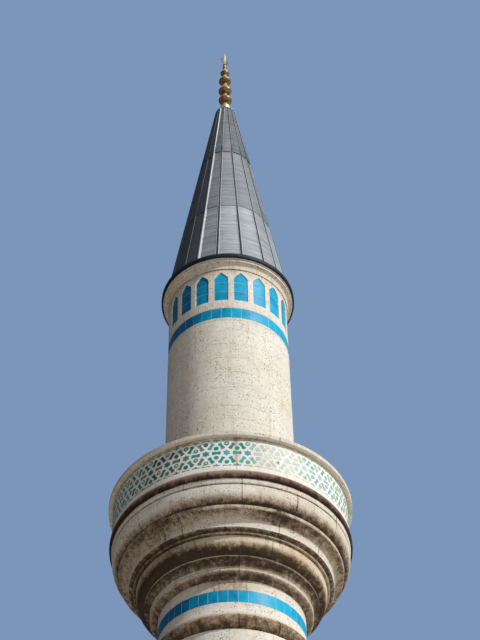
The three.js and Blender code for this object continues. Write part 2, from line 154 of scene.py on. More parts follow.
SUN_ANGLE = 50  # from the front towards the right
SUN_ELEVATION = 37
SUN_STRENGTH = 3.08
BACKDROP = (0.20, 0.305, 0.49)


# Places and values round the tower
def on_tower(angle, radius, height):
    """Points at an angle round the tower, a radius and a height"""
    turn = np.radians(np.asarray(angle, float))
    radius = np.asarray(radius, float)
    x = radius * np.sin(turn)
    return np.stack([x, -radius * np.cos(turn), height + 0 * x], axis=-1)


def on_wall(radius, turn=0.0):
    """place(along, up, depth) on a round wall, along being measured from the angle turn"""
    def place(along, up, depth):
        return on_tower(turn + math.degrees(along / radius), radius + depth, up)
    return place


def wrapped(angle):
    """The same angle between -180 and 180"""
    return (angle + 180) % 360 - 180


def by_angle(angle, table):
    """The value at an angle between the stops of {angle: value}"""
    return float(np.interp(wrapped(angle), list(table), list(table.values())))


def spread(size=1.0):
    """A random number between -size and size"""
    return size * dice.uniform(-1, 1)


def evenly(count, start, jitter):
    """count angles round the tower, each moved at random by up to jitter"""
    return [start + 360 * k / count + spread(jitter) for k in range(count)]


def filled(joints, count):
    """The given angles and evenly spaced ones in the rest of the round, count in all"""
    rest = count - len(joints) + 1
    step = (joints[0] + 360 - joints[-1]) / rest
    return sorted([*joints] + [joints[-1] + step * k for k in range(1, rest)])


def pairs(values, round_trip=False):
    """Every two neighbours in a row, and with round_trip also the last angle and the first"""
    values = list(values) + ([values[0] + 360] if round_trip else [])
    return list(zip(values, values[1:]))


def sides(polygon):
    return zip(polygon, polygon[1:] + polygon[:1])


# Outlines
def quarter(start, end, corner, steps=10):
    """A quarter of an ellipse from one (radius, height, wear) to another, bent towards a corner"""
    share = np.linspace(0, 1, steps + 1)
    turn = share * math.pi / 2
    curve = [c + (a - c) * np.cos(turn) + (b - c) * np.sin(turn) for a, b, c in zip(start, end, corner)]
    return list(zip(*curve, start[2] + (end[2] - start[2]) * share))


def half_round(radius, low, high, swell, wear_low, wear_high):
    """A half round that stands out from a radius between two heights"""
    share = np.linspace(0, 1, 15)
    height = (low + high) / 2 - (high - low) / 2 * np.cos(share * math.pi)
    wear = wear_low + (wear_high - wear_low) * share
    return list(zip(radius + swell * np.sin(share * math.pi), height, wear))


def box_outline(inner, outer, low, high, inner_wear=0.0, outer_wear=0.0):
    """Section of a plain ring"""
    return [(inner, low, inner_wear), (outer, low, outer_wear), (outer, high, outer_wear),
            (inner, high, inner_wear)]


def closed(profile, inner):
    """An outside profile and the two corners of its back, as rows of radius, height and wear"""
    return np.array([*profile, (inner, profile[-1][1], 0.3), (inner, profile[0][1], 0.3)])


def inset_outline(outline, amount):
    """The closed outline with each point moved inwards by about amount"""
    def unit(rows):
        return rows / np.maximum(np.linalg.norm(rows, axis=1, keepdims=True), 1e-9)

    flat = outline[:, :2]
    along = unit(unit(np.roll(flat, -1, axis=0) - flat) + unit(flat - np.roll(flat, 1, axis=0)))
    area = np.sum(flat[:, 0] * np.roll(flat[:, 1], -1) - np.roll(flat[:, 0], -1) * flat[:, 1])
    moved = outline.copy()
    moved[:, :2] += np.sign(area) * amount * np.stack([-along[:, 1], along[:, 0]], axis=1)
    return moved


def strips(places, low, high):
    """Upright strips between neighbouring places; low and high are heights or functions of the place"""
    def at(level, along):
        return level(along) if callable(level) else level
    return [[(a, at(low, a)), (b, at(low, b)), (b, at(high, b)), (a, at(high, a))] for a, b in pairs(places)]


def clipped(polygon, low, high):
    """A convex polygon's part between two heights"""
    for level, up in ((low, 1), (high, -1)):
        kept = []
        for (ax, ay), (bx, by) in sides(polygon):
            if up * ay >= up * level:
                kept.append((ax, ay))
            if (up * ay >= up * level) != (up * by >= up * level):
                kept.append((ax + (bx - ax) * ((level - ay) / (by - ay)), level))
        polygon = kept
        if len(polygon) < 3:
            return []
    return polygon


# Solids
def linked(name, data):
    """A new object, linked to the scene"""
    item = bpy.data.objects.new(name, data)
    bpy.context.scene.collection.objects.link(item)
    return item


class Blocks:
    """Closed solids that become one object. Each point has its block's tint, which moves the colour, and its
    own wear: 0 is clean, 1 is the most weathered, and below 0 lead is rubbed bright. On some pieces the tint
    and wear also paint shade and highlights."""

    def __init__(self):
        self.points = []
        self.faces = []
        self.marks = {"tint": [], "wear": []}
        self.count = 0

    def add(self, points, faces, tint, wear):
        points = np.asarray(points, float).reshape(-1, 3)
        self.points.append(points)
        self.faces += [[self.count + i for i in face] for face in faces]
        for key, value in (("tint", tint), ("wear", wear)):
            self.marks[key].append(np.broadcast_to(np.ravel(value), len(points)))
        self.count += len(points)

    def make(self, name, finish, replaces=(), sharp=38):
        """finish is a material and its slot, of which the slot is not used; sharp the angle from which an
        edge isn't smoothed
        """
        mesh = bpy.data.meshes.new(name)
        mesh.from_pydata(np.concatenate(self.points).tolist(), [], self.faces)
        shaped = bmesh.new()
        shaped.from_mesh(mesh)
        bmesh.ops.recalc_face_normals(shaped, faces=shaped.faces)
        shaped.to_mesh(mesh)
        shaped.free()
        for key, values in self.marks.items():
            layer = mesh.attributes.new(key, "FLOAT", "POINT")
            layer.data.foreach_set("value", np.concatenate(values).astype(np.float32))
        mesh.shade_smooth()
        mesh.set_sharp_from_angle(angle=math.radians(sharp))
        mesh.materials.append(finish[0])
        piece = linked(name, mesh)
        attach(piece, "root")
        if replaces:
            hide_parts(*replaces)


def sweep(sections, size, round_trip=False):
    """Faces between outlines of size points in a row, whose ends are closed unless it goes round"""
    faces = []
    for k in range(sections if round_trip else sections - 1):
        here = k * size
        there = (k + 1) % sections * size
        for i in range(size):
            j = (i + 1) % size
            faces.append((here + i, here + j, there + j, there + i))
    if not round_trip:
        faces += [range(size), range((sections - 1) * size, sections * size)]
    return faces


def turned(blocks, outline, segments=96):
    """A smooth ring with a closed outline of (radius, height, wear)"""
    outline = np.array(outline)
    points = [on_tower(360 * k / segments, outline[:, 0], outline[:, 1]) for k in range(segments)]
    blocks.add(points, sweep(segments, len(outline), True), 0.0, np.tile(outline[:, 2], segments))


def ring(name, outline, finish, replaces=(), segments=96, sharp=38):
    """An object that is one smooth ring"""
    blocks = Blocks()
    turned(blocks, outline, segments)
    blocks.make(name, finish, replaces, sharp)


def solid_of(blocks, profile, segments=32):
    """A smooth solid turned on the axis from (radius, height, wear), foot to head"""
    angles = 360 * np.arange(segments) / segments
    rings = [on_tower(angles, radius, height) for radius, height, _ in profile]
    wear = np.repeat([point[2] for point in profile], segments)
    blocks.add(rings, sweep(len(profile), segments), 0.0, wear)


def sampled(start, end, radius):
    """Angles along a stone: its chamfers, its darker edges, and even steps between"""
    gap, chamfer, edge = (math.degrees(size / radius) for size in (JOINT, CHAMFER, EDGE))
    first = start + gap + edge
    last = end - gap - edge
    if last <= first:
        first = last = (start + end) / 2
    count = max(1, math.ceil((last - first) / SECTION_STEP))
    inner = [first + (last - first) * k / count for k in range(count + 1)]
    return [start + gap, start + gap + chamfer] + inner + [end - gap - chamfer, end - gap]


def add_stone(blocks, angles, sections, tint):
    """One stone with a section, rows of radius, height and wear, at each of its angles"""
    points = [on_tower(angle, section[:, 0], section[:, 1]) for angle, section in zip(angles, sections)]
    wear = np.concatenate([section[:, 2] for section in sections])
    blocks.add(points, sweep(len(angles), len(sections[0])), tint, np.clip(wear, 0, 1.4))


def moulding(name, profile, bore, joints, finish, replaces=(), extra=None, uneven=0.0015, dirty=1.0):
    """A moulded course of stones between the joints' angles, with the given outside profile. extra(angle,
    height) adds wear, dirty scales the dirt along the joints."""
    blocks = Blocks()
    outline = closed(profile, bore)
    face = slice(len(profile))
    dirt = [dirty * dice.uniform(0.15, 0.9) for _ in joints]
    for (start, end), left, right in zip(pairs(joints, True), dirt, dirt[1:] + dirt[:1]):
        shift = spread(uneven)
        tint = spread()
        angles = sampled(start, end, outline[:, 0].max())
        last = len(angles) - 1
        at_joint = {0: left, 1: 0.7 * left, last - 1: 0.7 * right, last: right}
        sections = []
        for row, angle in enumerate(angles):
            section = inset_outline(outline, CHAMFER if row in (0, last) else 0.0)
            section[face, 0] += shift
            section[face, 2] += at_joint.get(row, 0.0)
            if extra:
                section[face, 2] += [extra(angle, height) for height in section[face, 1]]
            sections.append(section)
        add_stone(blocks, angles, sections, tint)
    blocks.make(name, finish, replaces)


def square_moulding(name, profile, inner, finish, replaces):
    """A moulded course round a square, mitred at the corners: its profile has half sides for radii"""
    blocks = Blocks()
    outline = closed(profile, inner)
    for side in range(4):
        turn = math.radians(90 * side)
        for left, right in pairs((-1.0, -0.42, 0.05, 0.5, 1.0)):
            points = []
            wear = []
            for share, recess in ((0.0, CHAMFER), (0.02, 0.0), (0.98, 0.0), (1.0, CHAMFER)):
                place = left + (right - left) * share
                mitred = abs(place) > 0.999
                out, up, worn = inset_outline(outline, 0.0 if mitred else recess).T
                across = place * out
                points.append(np.stack([across * math.cos(turn) + out * math.sin(turn),
                                        across * math.sin(turn) - out * math.cos(turn), up], axis=-1))
                wear.append(worn + (0.35 if recess and not mitred else 0.0))
            blocks.add(points, sweep(4, len(outline)), spread(), np.concatenate(wear))
    blocks.make(name, finish, replaces)


def block_on_wall(blocks, reach, shift, start, end, low, high, depth, tint, wear=0.0, corners=(),
                  bevel=CHAMFER, edge_wear=0.03):
    """One dressed block, which stands shift out of a wall at reach(angle, height) from the axis"""
    near = reach((start + end) / 2, (low + high) / 2) + shift
    angles = sorted(set(sampled(start, end, near)) | {corner for corner in corners if start < corner < end})
    heights = [low + JOINT, low + JOINT + bevel, low + JOINT + EDGE, high - JOINT - EDGE,
               high - JOINT - bevel, high - JOINT]
    last = len(angles) - 1
    sections = []
    for k, angle in enumerate(angles):
        radii = [reach(angle, height) + shift for height in heights]
        section = [(radii[0] - depth, heights[0], 0.3 + wear)]
        for row, (radius, height) in enumerate(zip(radii, heights)):
            recess = bevel if k in (0, last) or row in (0, 5) else 0.0
            worn = edge_wear if k in (0, 1, last - 1, last) or row in (0, 1, 4, 5) else 0.0
            section.append((radius - recess, height, worn + wear))
        section.append((radii[-1] - depth, heights[-1], 0.3 + wear))
        sections.append(np.array(section))
    add_stone(blocks, angles, sections, tint)


def outside_of(left, right, stretches):
    """What lies outside of two angles in stretches of (from, to)"""
    parts = [part for a, b in stretches for part in ((a, min(b, left)), (max(a, right), b))]
    return [(a, b) for a, b in parts if b > a]


def ashlar(blocks, reach, lines, joints_of, depth, gaps=(), corners=(), wear=0.0, proud=0.004):
    """Courses of blocks between the heights in lines. joints_of(course) gives a course's joint angles, gaps
    are (from angle, to angle, from height, to height) without blocks, wear is a number or wear(height)."""
    for course, (low, high) in enumerate(pairs(lines)):
        for start, end in pairs(sorted(joints_of(course)), True):
            stretches = [(start, end)]
            for left, right, gap_low, gap_high in gaps:
                if high > gap_low + 0.01 and low < gap_high - 0.01:
                    for turn in (-360, 0, 360):
                        stretches = outside_of(left + turn, right + turn, stretches)
            shift = proud + spread(0.0012)
            tint = spread()
            worn = wear((low + high) / 2) if callable(wear) else wear
            for a, b in stretches:
                if b - a > SLIVER:
                    block_on_wall(blocks, reach, shift, a, b, low, high, depth, tint, worn, corners)


def courses(low, high, height=COURSE, jitter=0.015):
    """Heights of the joints from low to high, with courses of about the given height"""
    count = max(1, round((high - low) / height))
    return [low] + [low + (high - low) * k / count + spread(jitter) for k in range(1, count)] + [high]


def bonded(count, jitter=4.0):
    """Joint angles of each course: every other course is moved by half a stone"""
    def joints_of(course):
        return [360 * (k + 0.5 * (course % 2)) / count + spread(jitter) for k in range(count)]
    return joints_of


def thicken(blocks, polygons, place, front, back, tint, wear):
    """A closed slab from flat polygons in (along, up). place(along, up, depth) puts a point on the tower,
    front and back are its two depths."""
    corners = {}
    faces = []
    for polygon in polygons:
        keys = [(round(along, 5), round(up, 5)) for along, up in polygon]
        for key, corner in zip(keys, polygon):
            corners.setdefault(key, (len(corners), corner))
        face = list(dict.fromkeys(corners[key][0] for key in keys))
        if len(face) > 2:
            faces.append(face)
    edges = {}
    for face in faces:
        for a, b in sides(face):
            edges[frozenset((a, b))] = None if frozenset((a, b)) in edges else (a, b)
    size = len(corners)
    flat = [corner for _, corner in corners.values()]
    solid = faces + [[i + size for i in reversed(face)] for face in faces]
    solid += [(a + size, b + size, b, a) for a, b in filter(None, edges.values())]
    points = [place(along, up, depth) for depth in (front, back) for along, up in flat]
    values = [wear(along, up) for along, up in flat] * 2 if callable(wear) else wear
    blocks.add(points, solid, tint, values)


# Materials
class Nodes:
    """The nodes of a material or of the world, with a short call for every kind used here"""

    def __init__(self, owner):
        owner.use_nodes = True
        self.tree = owner.node_tree
        self.coordinates = self.new("TexCoord").outputs

    def new(self, kind, inputs=None, **settings):
        node = self.tree.nodes.new("ShaderNode" + kind)
        for key, value in settings.items():
            setattr(node, key, value)
        for key, value in (inputs or {}).items():
            self.feed(node.inputs[key], value)
        return node

    def feed(self, socket, value):
        """Links another socket, or sets a number or a colour of (r, g, b)"""
        if isinstance(value, bpy.types.NodeSocket):
            self.tree.links.new(value, socket)
        else:
            socket.default_value = (*value, 1.0) if socket.type == "RGBA" else value

    def mark(self, key):
        """The tint or wear of a point"""
        return self.new("Attribute", attribute_name=key).outputs["Fac"]

    def noise(self, scale, detail=4.0, roughness=0.55, stretch=None):
        place = self.coordinates["Object"]
        if stretch:
            place = self.new("Mapping", {"Vector": place, "Scale": stretch}).outputs["Vector"]
        inputs = {"Vector": place, "Scale": scale, "Detail": detail, "Roughness": roughness}
        return self.new("TexNoise", inputs).outputs["Fac"]

    def maths(self, operation, a, b, clamp=False):
        return self.new("Math", {0: a, 1: b}, operation=operation, use_clamp=clamp).outputs[0]

    plus = functools.partialmethod(maths, "ADD")
    minus = functools.partialmethod(maths, "SUBTRACT")
    times = functools.partialmethod(maths, "MULTIPLY")
    larger = functools.partialmethod(maths, "MAXIMUM")

    def ranged(self, value, low, high, to_low=0.0, to_high=1.0):
        inputs = {"Value": value, "From Min": low, "From Max": high, "To Min": to_low, "To Max": to_high}
        return self.new("MapRange", inputs).outputs["Result"]

    def mixed(self, share, a, b, blend="MIX"):
        """Two colours mixed; a Mix node's sockets 6 and 7 and its output 2 are the ones for colours"""
        return self.new("Mix", {0: share, 6: a, 7: b}, data_type="RGBA", blend_type=blend).outputs[2]

    def ramp(self, share, stops):
        """A colour that runs through stops of (position, (r, g, b))"""
        node = self.new("ValToRGB", {"Fac": share})
        elements = node.color_ramp.elements
        while len(elements) < len(stops):
            elements.new(0.5)
        for element, (position, colour) in zip(elements, stops):
            element.position = position
            element.color = (*colour, 1.0)
        return node.outputs["Color"]

    def shade(self, colour, roughness, relief, strength, distance, constants):
        """Feeds the material's shader, with a bump from the relief"""
        bump = self.new("Bump", {"Height": relief, "Strength": strength, "Distance": distance})
        inputs = {"Base Color": colour, "Roughness": roughness, "Normal": bump.outputs["Normal"], **constants}
        for key, value in inputs.items():
            self.feed(self.tree.nodes["Principled BSDF"].inputs[key], value)


CRUST = (
    (0.0, (1.0, 1.0, 1.0)),
    (0.22, (0.86, 0.81, 0.74)),
    (0.45, (0.55, 0.47, 0.39)),
    (0.72, (0.26, 0.195, 0.145)),
    (1.0, (0.085, 0.062, 0.046)),
)
PORE = (0.18, 0.13, 0.09)
LICHEN = (0.48, 0.32, 0.13)
PATINA = (0.006, 0.017, 0.032)


def stone(name, clean, warm, slot="ashlar_stone", pores=0.8, streaks=0.6, speckle=0.7, base_wear=0.0,
          lichen=0.0):
    """Limestone with pores, grain, stains that run down, and a crust where wear is high, which on the
    corbels' left side also paints shade
    """
    material = bpy.data.materials.new(name)
    n = Nodes(material)
    tint = n.mark("tint")
    wear = n.mark("wear")
    cloud = n.noise(1.6, 6)
    blotch = n.noise(9.0, 6, 0.62)
    mottle = n.noise(24.0, 4, 0.7)
    grain = n.noise(95.0, 3)
    rows = n.noise(1.0, 4, 0.6, (5.0, 5.0, 55.0))
    runs = n.noise(1.0, 5, 0.6, (9.0, 9.0, 0.7))
    body = n.mixed(n.plus(n.ranged(cloud, 0.3, 0.7), n.times(tint, 0.3), True), clean, warm)
    light = n.plus(n.ranged(blotch, 0.25, 0.75, 0.93, 1.09), n.times(tint, 0.03))
    for pattern, low, high in ((grain, 0.91, 1.10), (rows, 0.90, 1.08), (mottle, 0.88, 1.14)):
        light = n.times(light, n.ranged(pattern, 0.27, 0.73, low, high))
    grey = n.new("CombineColor", {0: light, 1: light, 2: light}).outputs[0]
    body = n.mixed(1.0, body, grey, "MULTIPLY")

    # Pores of three sizes, each of its own width, thicker in clusters
    clusters = n.ranged(n.noise(3.1, 4), 0.26, 0.62, 0.45, 1.0)
    pits = 0.0
    for scale, size in ((11.0, 0.19), (21.0, 0.36), (36.0, 0.44)):
        cells = n.new("TexVoronoi", {"Vector": n.coordinates["Object"], "Scale": scale}).outputs
        width = n.new("SeparateColor", {"Color": cells["Color"]}).outputs[0]
        limit = n.times(n.times(clusters, n.ranged(width, 0.25, 1.0)), size)
        pits = n.larger(n.ranged(n.minus(limit, cells["Distance"]), 0.0, 0.05), pits)
    body = n.mixed(n.times(pits, pores), body, PORE)

    # Lichen, crust and stains
    if lichen:
        spots = n.ranged(n.noise(4.3, 5, 0.66), 0.60, 0.72, 0.0, lichen)
        body = n.mixed(spots, body, LICHEN)
    patchy = n.times(n.plus(wear, base_wear), n.ranged(blotch, 0.28, 0.72, 0.45, 1.5))
    patchy = n.times(patchy, n.ranged(mottle, 0.3, 0.7, 0.70, 1.14))
    stain = n.times(n.ranged(runs, 0.52, 0.80), streaks * 0.45)
    dust = n.times(n.ranged(n.noise(38.0, 5, 0.7), 0.54, 0.70), speckle * 0.5)
    dust = n.times(dust, n.plus(wear, 0.4))
    amount = n.plus(n.plus(patchy, stain), dust, True)
    body = n.mixed(1.0, body, n.ramp(amount, CRUST), "MULTIPLY")
    roughness = n.ranged(blotch, 0.2, 0.8, 0.80, 0.95)
    relief = n.minus(n.plus(blotch, n.times(grain, 0.35)), n.times(pits, 0.9))
    n.shade(body, roughness, relief, 0.5, 0.004, {"Specular IOR Level": 0.2})
    return material, slot


def glaze(name, deep, bright, pale, roughness=0.45):
    """Glazed tile: the tint moves its blue, and on some pieces paints shade; wear bleaches it towards lime,
    and on the mosaic also paints the sun's highlight
    """
    material = bpy.data.materials.new(name)
    n = Nodes(material)
    tint = n.mark("tint")
    wear = n.mark("wear")
    cloud = n.noise(7.0)
    fine = n.noise(60.0)
    body = n.mixed(n.plus(n.ranged(cloud, 0.3, 0.7, 0.25, 0.75), n.times(tint, 0.35), True), deep, bright)
    body = n.mixed(n.times(wear, n.ranged(fine, 0.3, 0.7, 0.7, 1.25), True), body, pale)
    gloss = n.ranged(fine, 0.3, 0.7, roughness - 0.05, roughness + 0.06)
    gloss = n.plus(gloss, n.times(wear, 0.3), True)
    n.shade(body, gloss, n.noise(14.0, 3), 0.2, 0.003, {"Specular IOR Level": 0.15})
    return material, "turquoise_tile"


def lead_sheet(name, dark, light):
    """Dull lead with fine marks across it: black patina where wear is high, which on the left also paints
    shade, and rubbed bright below 0, which on the seams paints highlights
    """
    material = bpy.data.materials.new(name)
    n = Nodes(material)
    tint = n.mark("tint")
    wear = n.mark("wear")
    cloud = n.noise(2.2, 5)
    across = n.noise(1.0, 5, 0.65, (1.6, 1.6, 22.0))
    fine = n.noise(70.0, 3)
    body = n.mixed(n.plus(n.ranged(across, 0.36, 0.64), n.times(tint, 0.2), True), dark, light)
    body = n.mixed(n.ranged(cloud, 0.40, 0.75, 0.0, 0.4), body, dark)
    body = n.mixed(n.times(wear, n.ranged(fine, 0.2, 0.8, 0.85, 1.1), True), body, PATINA)
    body = n.mixed(n.times(wear, -1.0, True), body, (0.80, 0.81, 0.82))
    roughness = n.ranged(across, 0.2, 0.8, 0.50, 0.66)
    relief = n.plus(across, n.times(fine, 0.2))
    n.shade(body, roughness, relief, 0.3, 0.004, {"Metallic": 0.25, "Specular IOR Level": 0.3})
    return material, "lead_sheet"


def gilding(name):
    """Worn gilding, brown where wear is high, which on the beads and the crescent is painted shade"""
    material = bpy.data.materials.new(name)
    n = Nodes(material)
    wear = n.mark("wear")
    cloud = n.noise(16.0, 5, 0.6)
    amount = n.times(wear, n.ranged(cloud, 0.3, 0.7, 0.8, 1.2), True)
    body = n.mixed(n.ranged(cloud, 0.35, 0.7), (0.88, 0.74, 0.44), (0.76, 0.58, 0.26))
    body = n.mixed(amount, body, (0.10, 0.055, 0.010))
    n.shade(body, n.ranged(cloud, 0.3, 0.7, 0.32, 0.5), cloud, 0.2, 0.003, {"Metallic": 0.75})
    return material, "gilded_copper"


limestone = stone("limestone", (0.745, 0.725, 0.67), (0.685, 0.64, 0.56), pores=0.9, streaks=0.5)
moulded_stone = stone("moulded_limestone", (0.75, 0.73, 0.68), (0.67, 0.62, 0.54), speckle=1.1, lichen=0.35)
crusted_stone = stone("crusted_limestone", (0.70, 0.64, 0.54), (0.60, 0.51, 0.40), "weathered_stone",
                      streaks=0.8, speckle=1.3, base_wear=0.05, lichen=0.3)
rose_stone = stone("rose_weathered_stone", (0.37, 0.28, 0.25), (0.27, 0.20, 0.175), "weathered_stone",
                   pores=0.5, streaks=0.7, speckle=1.0, base_wear=0.02)
mosaic_ground = stone("mosaic_ground", (0.86, 0.84, 0.79), (0.81, 0.76, 0.68), pores=0.2, streaks=0.3,
                      speckle=0.8)
grout = stone("grout", (0.74, 0.71, 0.64), (0.66, 0.61, 0.53), pores=0.2, streaks=0.2)
turquoise = glaze("turquoise_glaze", (0.001, 0.14, 0.34), (0.003, 0.43, 0.68), (0.62, 0.74, 0.76), 0.42)
teal = glaze("teal_glaze", (0.008, 0.10, 0.115), (0.030, 0.36, 0.36), (0.72, 0.76, 0.70))
star_blue = glaze("star_glaze", (0.008, 0.16, 0.21), (0.03, 0.42, 0.52), (0.72, 0.77, 0.74))
lead = lead_sheet("lead_sheet", (0.27, 0.30, 0.335), (0.56, 0.58, 0.605))
black_lead = lead_sheet("blackened_lead", (0.012, 0.014, 0.017), (0.030, 0.033, 0.037))
gold = gilding("gilding")


# Wall faces: reach(angle, height) is the distance from the axis
def square_reach(half):
    def reach(angle, height):
        turn = math.radians(angle)
        return half / max(abs(math.sin(turn)), abs(math.cos(turn)))
    return reach


def tapered(foot_radius, head_radius, low, high):
    def reach(angle, height):
        return foot_radius + (head_radius - foot_radius) * (height - low) / (high - low)
    return reach


def transition_reach(angle, height):
    """A square that turns into a circle as it rises"""
    low, high = span("square_to_round_base")
    share = float(np.interp(height, (low + 0.15, high - 0.15), (0, 1)))
    half = (1 - share) * TRANSITION_FOOT_HALF
    radius = share * TRANSITION_HEAD_RADIUS
    turn = math.radians((angle + 45) % 90 - 45)
    across = abs(math.sin(turn))
    along = math.cos(turn)
    flat = (half + radius) / along
    if flat * across <= half:
        return flat
    return half * (along + across) + math.sqrt(max(0.0, radius ** 2 - half ** 2 * (1 - 2 * along * across)))


# Square base
def square_joints(half, long_side, short_side):
    """Joint angles on a square plan, with corner stones that change sides from course to course"""
    def joints_of(course):
        angles = []
        for side in range(4):
            near, far = (long_side, short_side) if (course + side) % 2 else (short_side, long_side)
            inner = [-0.35 * half + spread(0.09), 0.33 * half + spread(0.09)]
            if course % 2:
                inner = [0.05 * half + spread(0.06)]
            places = [near - half, *inner, half - far]
            angles += [90 * side + math.degrees(math.atan2(place, half)) for place in places]
        return angles
    return joints_of


def doorway_gap(half, wall, low, high):
    """The gap of a doorway through a straight wall, for ashlar()"""
    angle = math.degrees(math.atan2(half, wall))
    return [(-angle, angle, low, high)]


def add_base():
    """Plinth with a sloped top course, walls, cornice, and the body that turns the square into a round"""
    plinth_top = head("base_plinth")
    slope_foot = plinth_top - 0.09
    face = PLINTH_HALF - 0.012
    gap = doorway_gap(DOOR_HALF, PLINTH_HALF, -1, 3)

    def slope_reach(angle, height):
        share = float(np.interp(height, (slope_foot, plinth_top), (0, 1)))
        return square_reach(face - 0.07 * share)(angle, height)

    plinth = Blocks()
    ashlar(plinth, square_reach(face), [0.0, 0.26, slope_foot], square_joints(PLINTH_HALF, 0.75, 0.42), 0.14,
           gap, CORNERS, 0.22, 0.006)
    ashlar(plinth, slope_reach, [slope_foot, plinth_top - 0.001], square_joints(PLINTH_HALF, 0.6, 0.35), 0.06,
           gap, CORNERS, 0.15)
    plinth.make("plinth_stones", limestone)

    walls = Blocks()
    lines = courses(plinth_top, DOOR_FRAME_TOP, 0.36, 0.01)
    lines += courses(DOOR_FRAME_TOP, head("back_wall"), 0.38, 0.012)[1:]
    ashlar(walls, square_reach(BASE_HALF), lines, square_joints(BASE_HALF, 0.62, 0.34), 0.05,
           doorway_gap(DOOR_FRAME_HALF, BASE_HALF, 0, DOOR_FRAME_TOP), CORNERS,
           lambda height: max(0.0, 0.14 - 0.05 * height), 0.012)
    walls.make("base_wall_stones", limestone)
    add_doorway()

    low, high = span("base_cornice")
    bed = BASE_HALF + 0.025
    crown = BASE_HALF + 0.095
    profile = [(BASE_HALF + 0.005, low, 0.4), (bed, low + 0.06, 0.25)]
    profile += quarter((bed, low + 0.06, 0.45), (crown, low + 0.19, 0.15), (crown, low + 0.06))[1:]
    profile.append((crown, high, 0.1))
    square_moulding("base_cornice_stones", profile, BASE_HALF - BASE_WALL, moulded_stone, ["base_cornice"])

    transition = Blocks()
    ashlar(transition, transition_reach, courses(*span("square_to_round_base"), 0.36), bonded(12, 2.0), 0.07,
           (), CORNERS, 0.05, 0.006)
    transition.make("transition_stones", limestone)


def arch_height(across):
    """Height of the ground doorway's pointed arch at a distance from its middle: a parabola from the spring
    to the apex, bent towards a point near the jamb"""
    bend = 0.92 * ARCH_HALF
    bend_height = DOOR_APEX - 0.19
    a = ARCH_HALF - 2 * bend
    b = 2 * (bend - ARCH_HALF)
    c = ARCH_HALF - abs(across)
    share = (-b - math.sqrt(max(0.0, b * b - 4 * a * c))) / (2 * a)
    share = min(1.0, max(0.0, share))
    return (1 - share) ** 2 * DOOR_SPRING + 2 * share * (1 - share) * bend_height + share ** 2 * DOOR_APEX


def add_doorway():
    """Jambs and a pointed head in a flat frame that stands out from the front wall"""
    stones = Blocks()

    def place(along, up, depth):
        return (along, -(BASE_HALF + depth), up)

    def frame_stone(polygons):
        thicken(stones, polygons, place, 0.035, -0.03, spread(), 0.12)

    heights = courses(head("ground_floor"), DOOR_SPRING, 0.42, 0.012)
    for side in (-1, 1):
        jamb = (side * ARCH_HALF, side * DOOR_FRAME_HALF)
        for low, high in pairs(heights):
            frame_stone(strips(jamb, low + JOINT, high - JOINT))
        columns = side * np.linspace(0.004, ARCH_HALF, 12)
        frame_stone(strips(columns, arch_height, DOOR_FRAME_TOP)
                    + strips(jamb, DOOR_SPRING + JOINT, DOOR_FRAME_TOP))
    stones.make("doorway_frame", moulded_stone, sharp=30)


# Lower shaft with its two mouldings
def add_lower_shaft():
    low, high = span("shaft_foot_moulding")
    edge = SHAFT_FOOT + 0.02
    profile = [(TRANSITION_HEAD_RADIUS, low, 0.3)]
    profile += half_round(TRANSITION_HEAD_RADIUS, low + 0.02, high - 0.06, 0.085, 0.5, 0.1)
    profile += [(edge, high - 0.05, 0.2), (edge, high, 0.1)]
    moulding("shaft_foot_stones", profile, LOWER_BORE, evenly(10, 7, 2), moulded_stone,
             ["shaft_foot_moulding"])

    low, high = span("lower_shaft_right")
    shaft = Blocks()
    ashlar(shaft, tapered(SHAFT_FOOT, SHAFT_HEAD, low, high), courses(low, high), bonded(11), 0.08)
    shaft.make("lower_shaft_stones", limestone)
    ring("lower_shaft_core", box_outline(LOWER_BORE, SHAFT_HEAD - 0.012, low, high, 0.3, 0.9), limestone,
         ["lower_shaft_right", "lower_shaft_left"])

    low, high = span("shaft_collar_moulding")
    edge = SHAFT_HEAD + 0.015
    profile = [(SHAFT_HEAD, low, 0.9)]
    profile += half_round(SHAFT_HEAD + 0.005, low + 0.01, high - 0.03, 0.075, 0.85, 0.42)
    profile += [(edge, high - 0.025, 0.15), (edge, high, 0.0)]
    moulding("shaft_collar_stones", profile, LOWER_BORE, evenly(12, 4, 3), crusted_stone,
             ["shaft_collar_moulding"])


# Tile bands
def glaze_tint_painted_shade(angle):
    """Painted shade and light: the tiles are painted deeper blue on the left, away from the sun, and brighter
    on the right
    """
    return by_angle(angle, {-180: -0.6, -70: -1.8, -40: -1.5, -15: -0.1, 5: 0.5, 30: 0.9, 180: -0.6})


def add_tile_ring(name, node, radius, count, start):
    """A band of separate tiles on a ring of grout"""
    low, high = span(node)
    half = 180 / count - math.degrees(GROUT / radius)
    tiles = Blocks()
    for k in range(count):
        middle = start + 360 * k / count
        block_on_wall(tiles, lambda angle, height: radius, spread(0.0008), middle - half, middle + half,
                      low + PLAY, high - PLAY, TILE - 0.002, glaze_tint_painted_shade(middle) + spread(0.5),
                      bevel=TILE_BEVEL, edge_wear=0.0)
    tiles.make(name, turquoise, [node])
    ring(name + "_grout", box_outline(radius - TILE, radius - 0.003, low, high), grout)


# Neck between the collar and the corbels
def neck_wear(angle, height):
    """The neck is dusty in front, above its tiles"""
    dust = by_angle(angle, {-26: 0, -14: 0.3, 10: 0.3, 22: 0})
    return dust if height > head("lower_tile_band") else 0.0


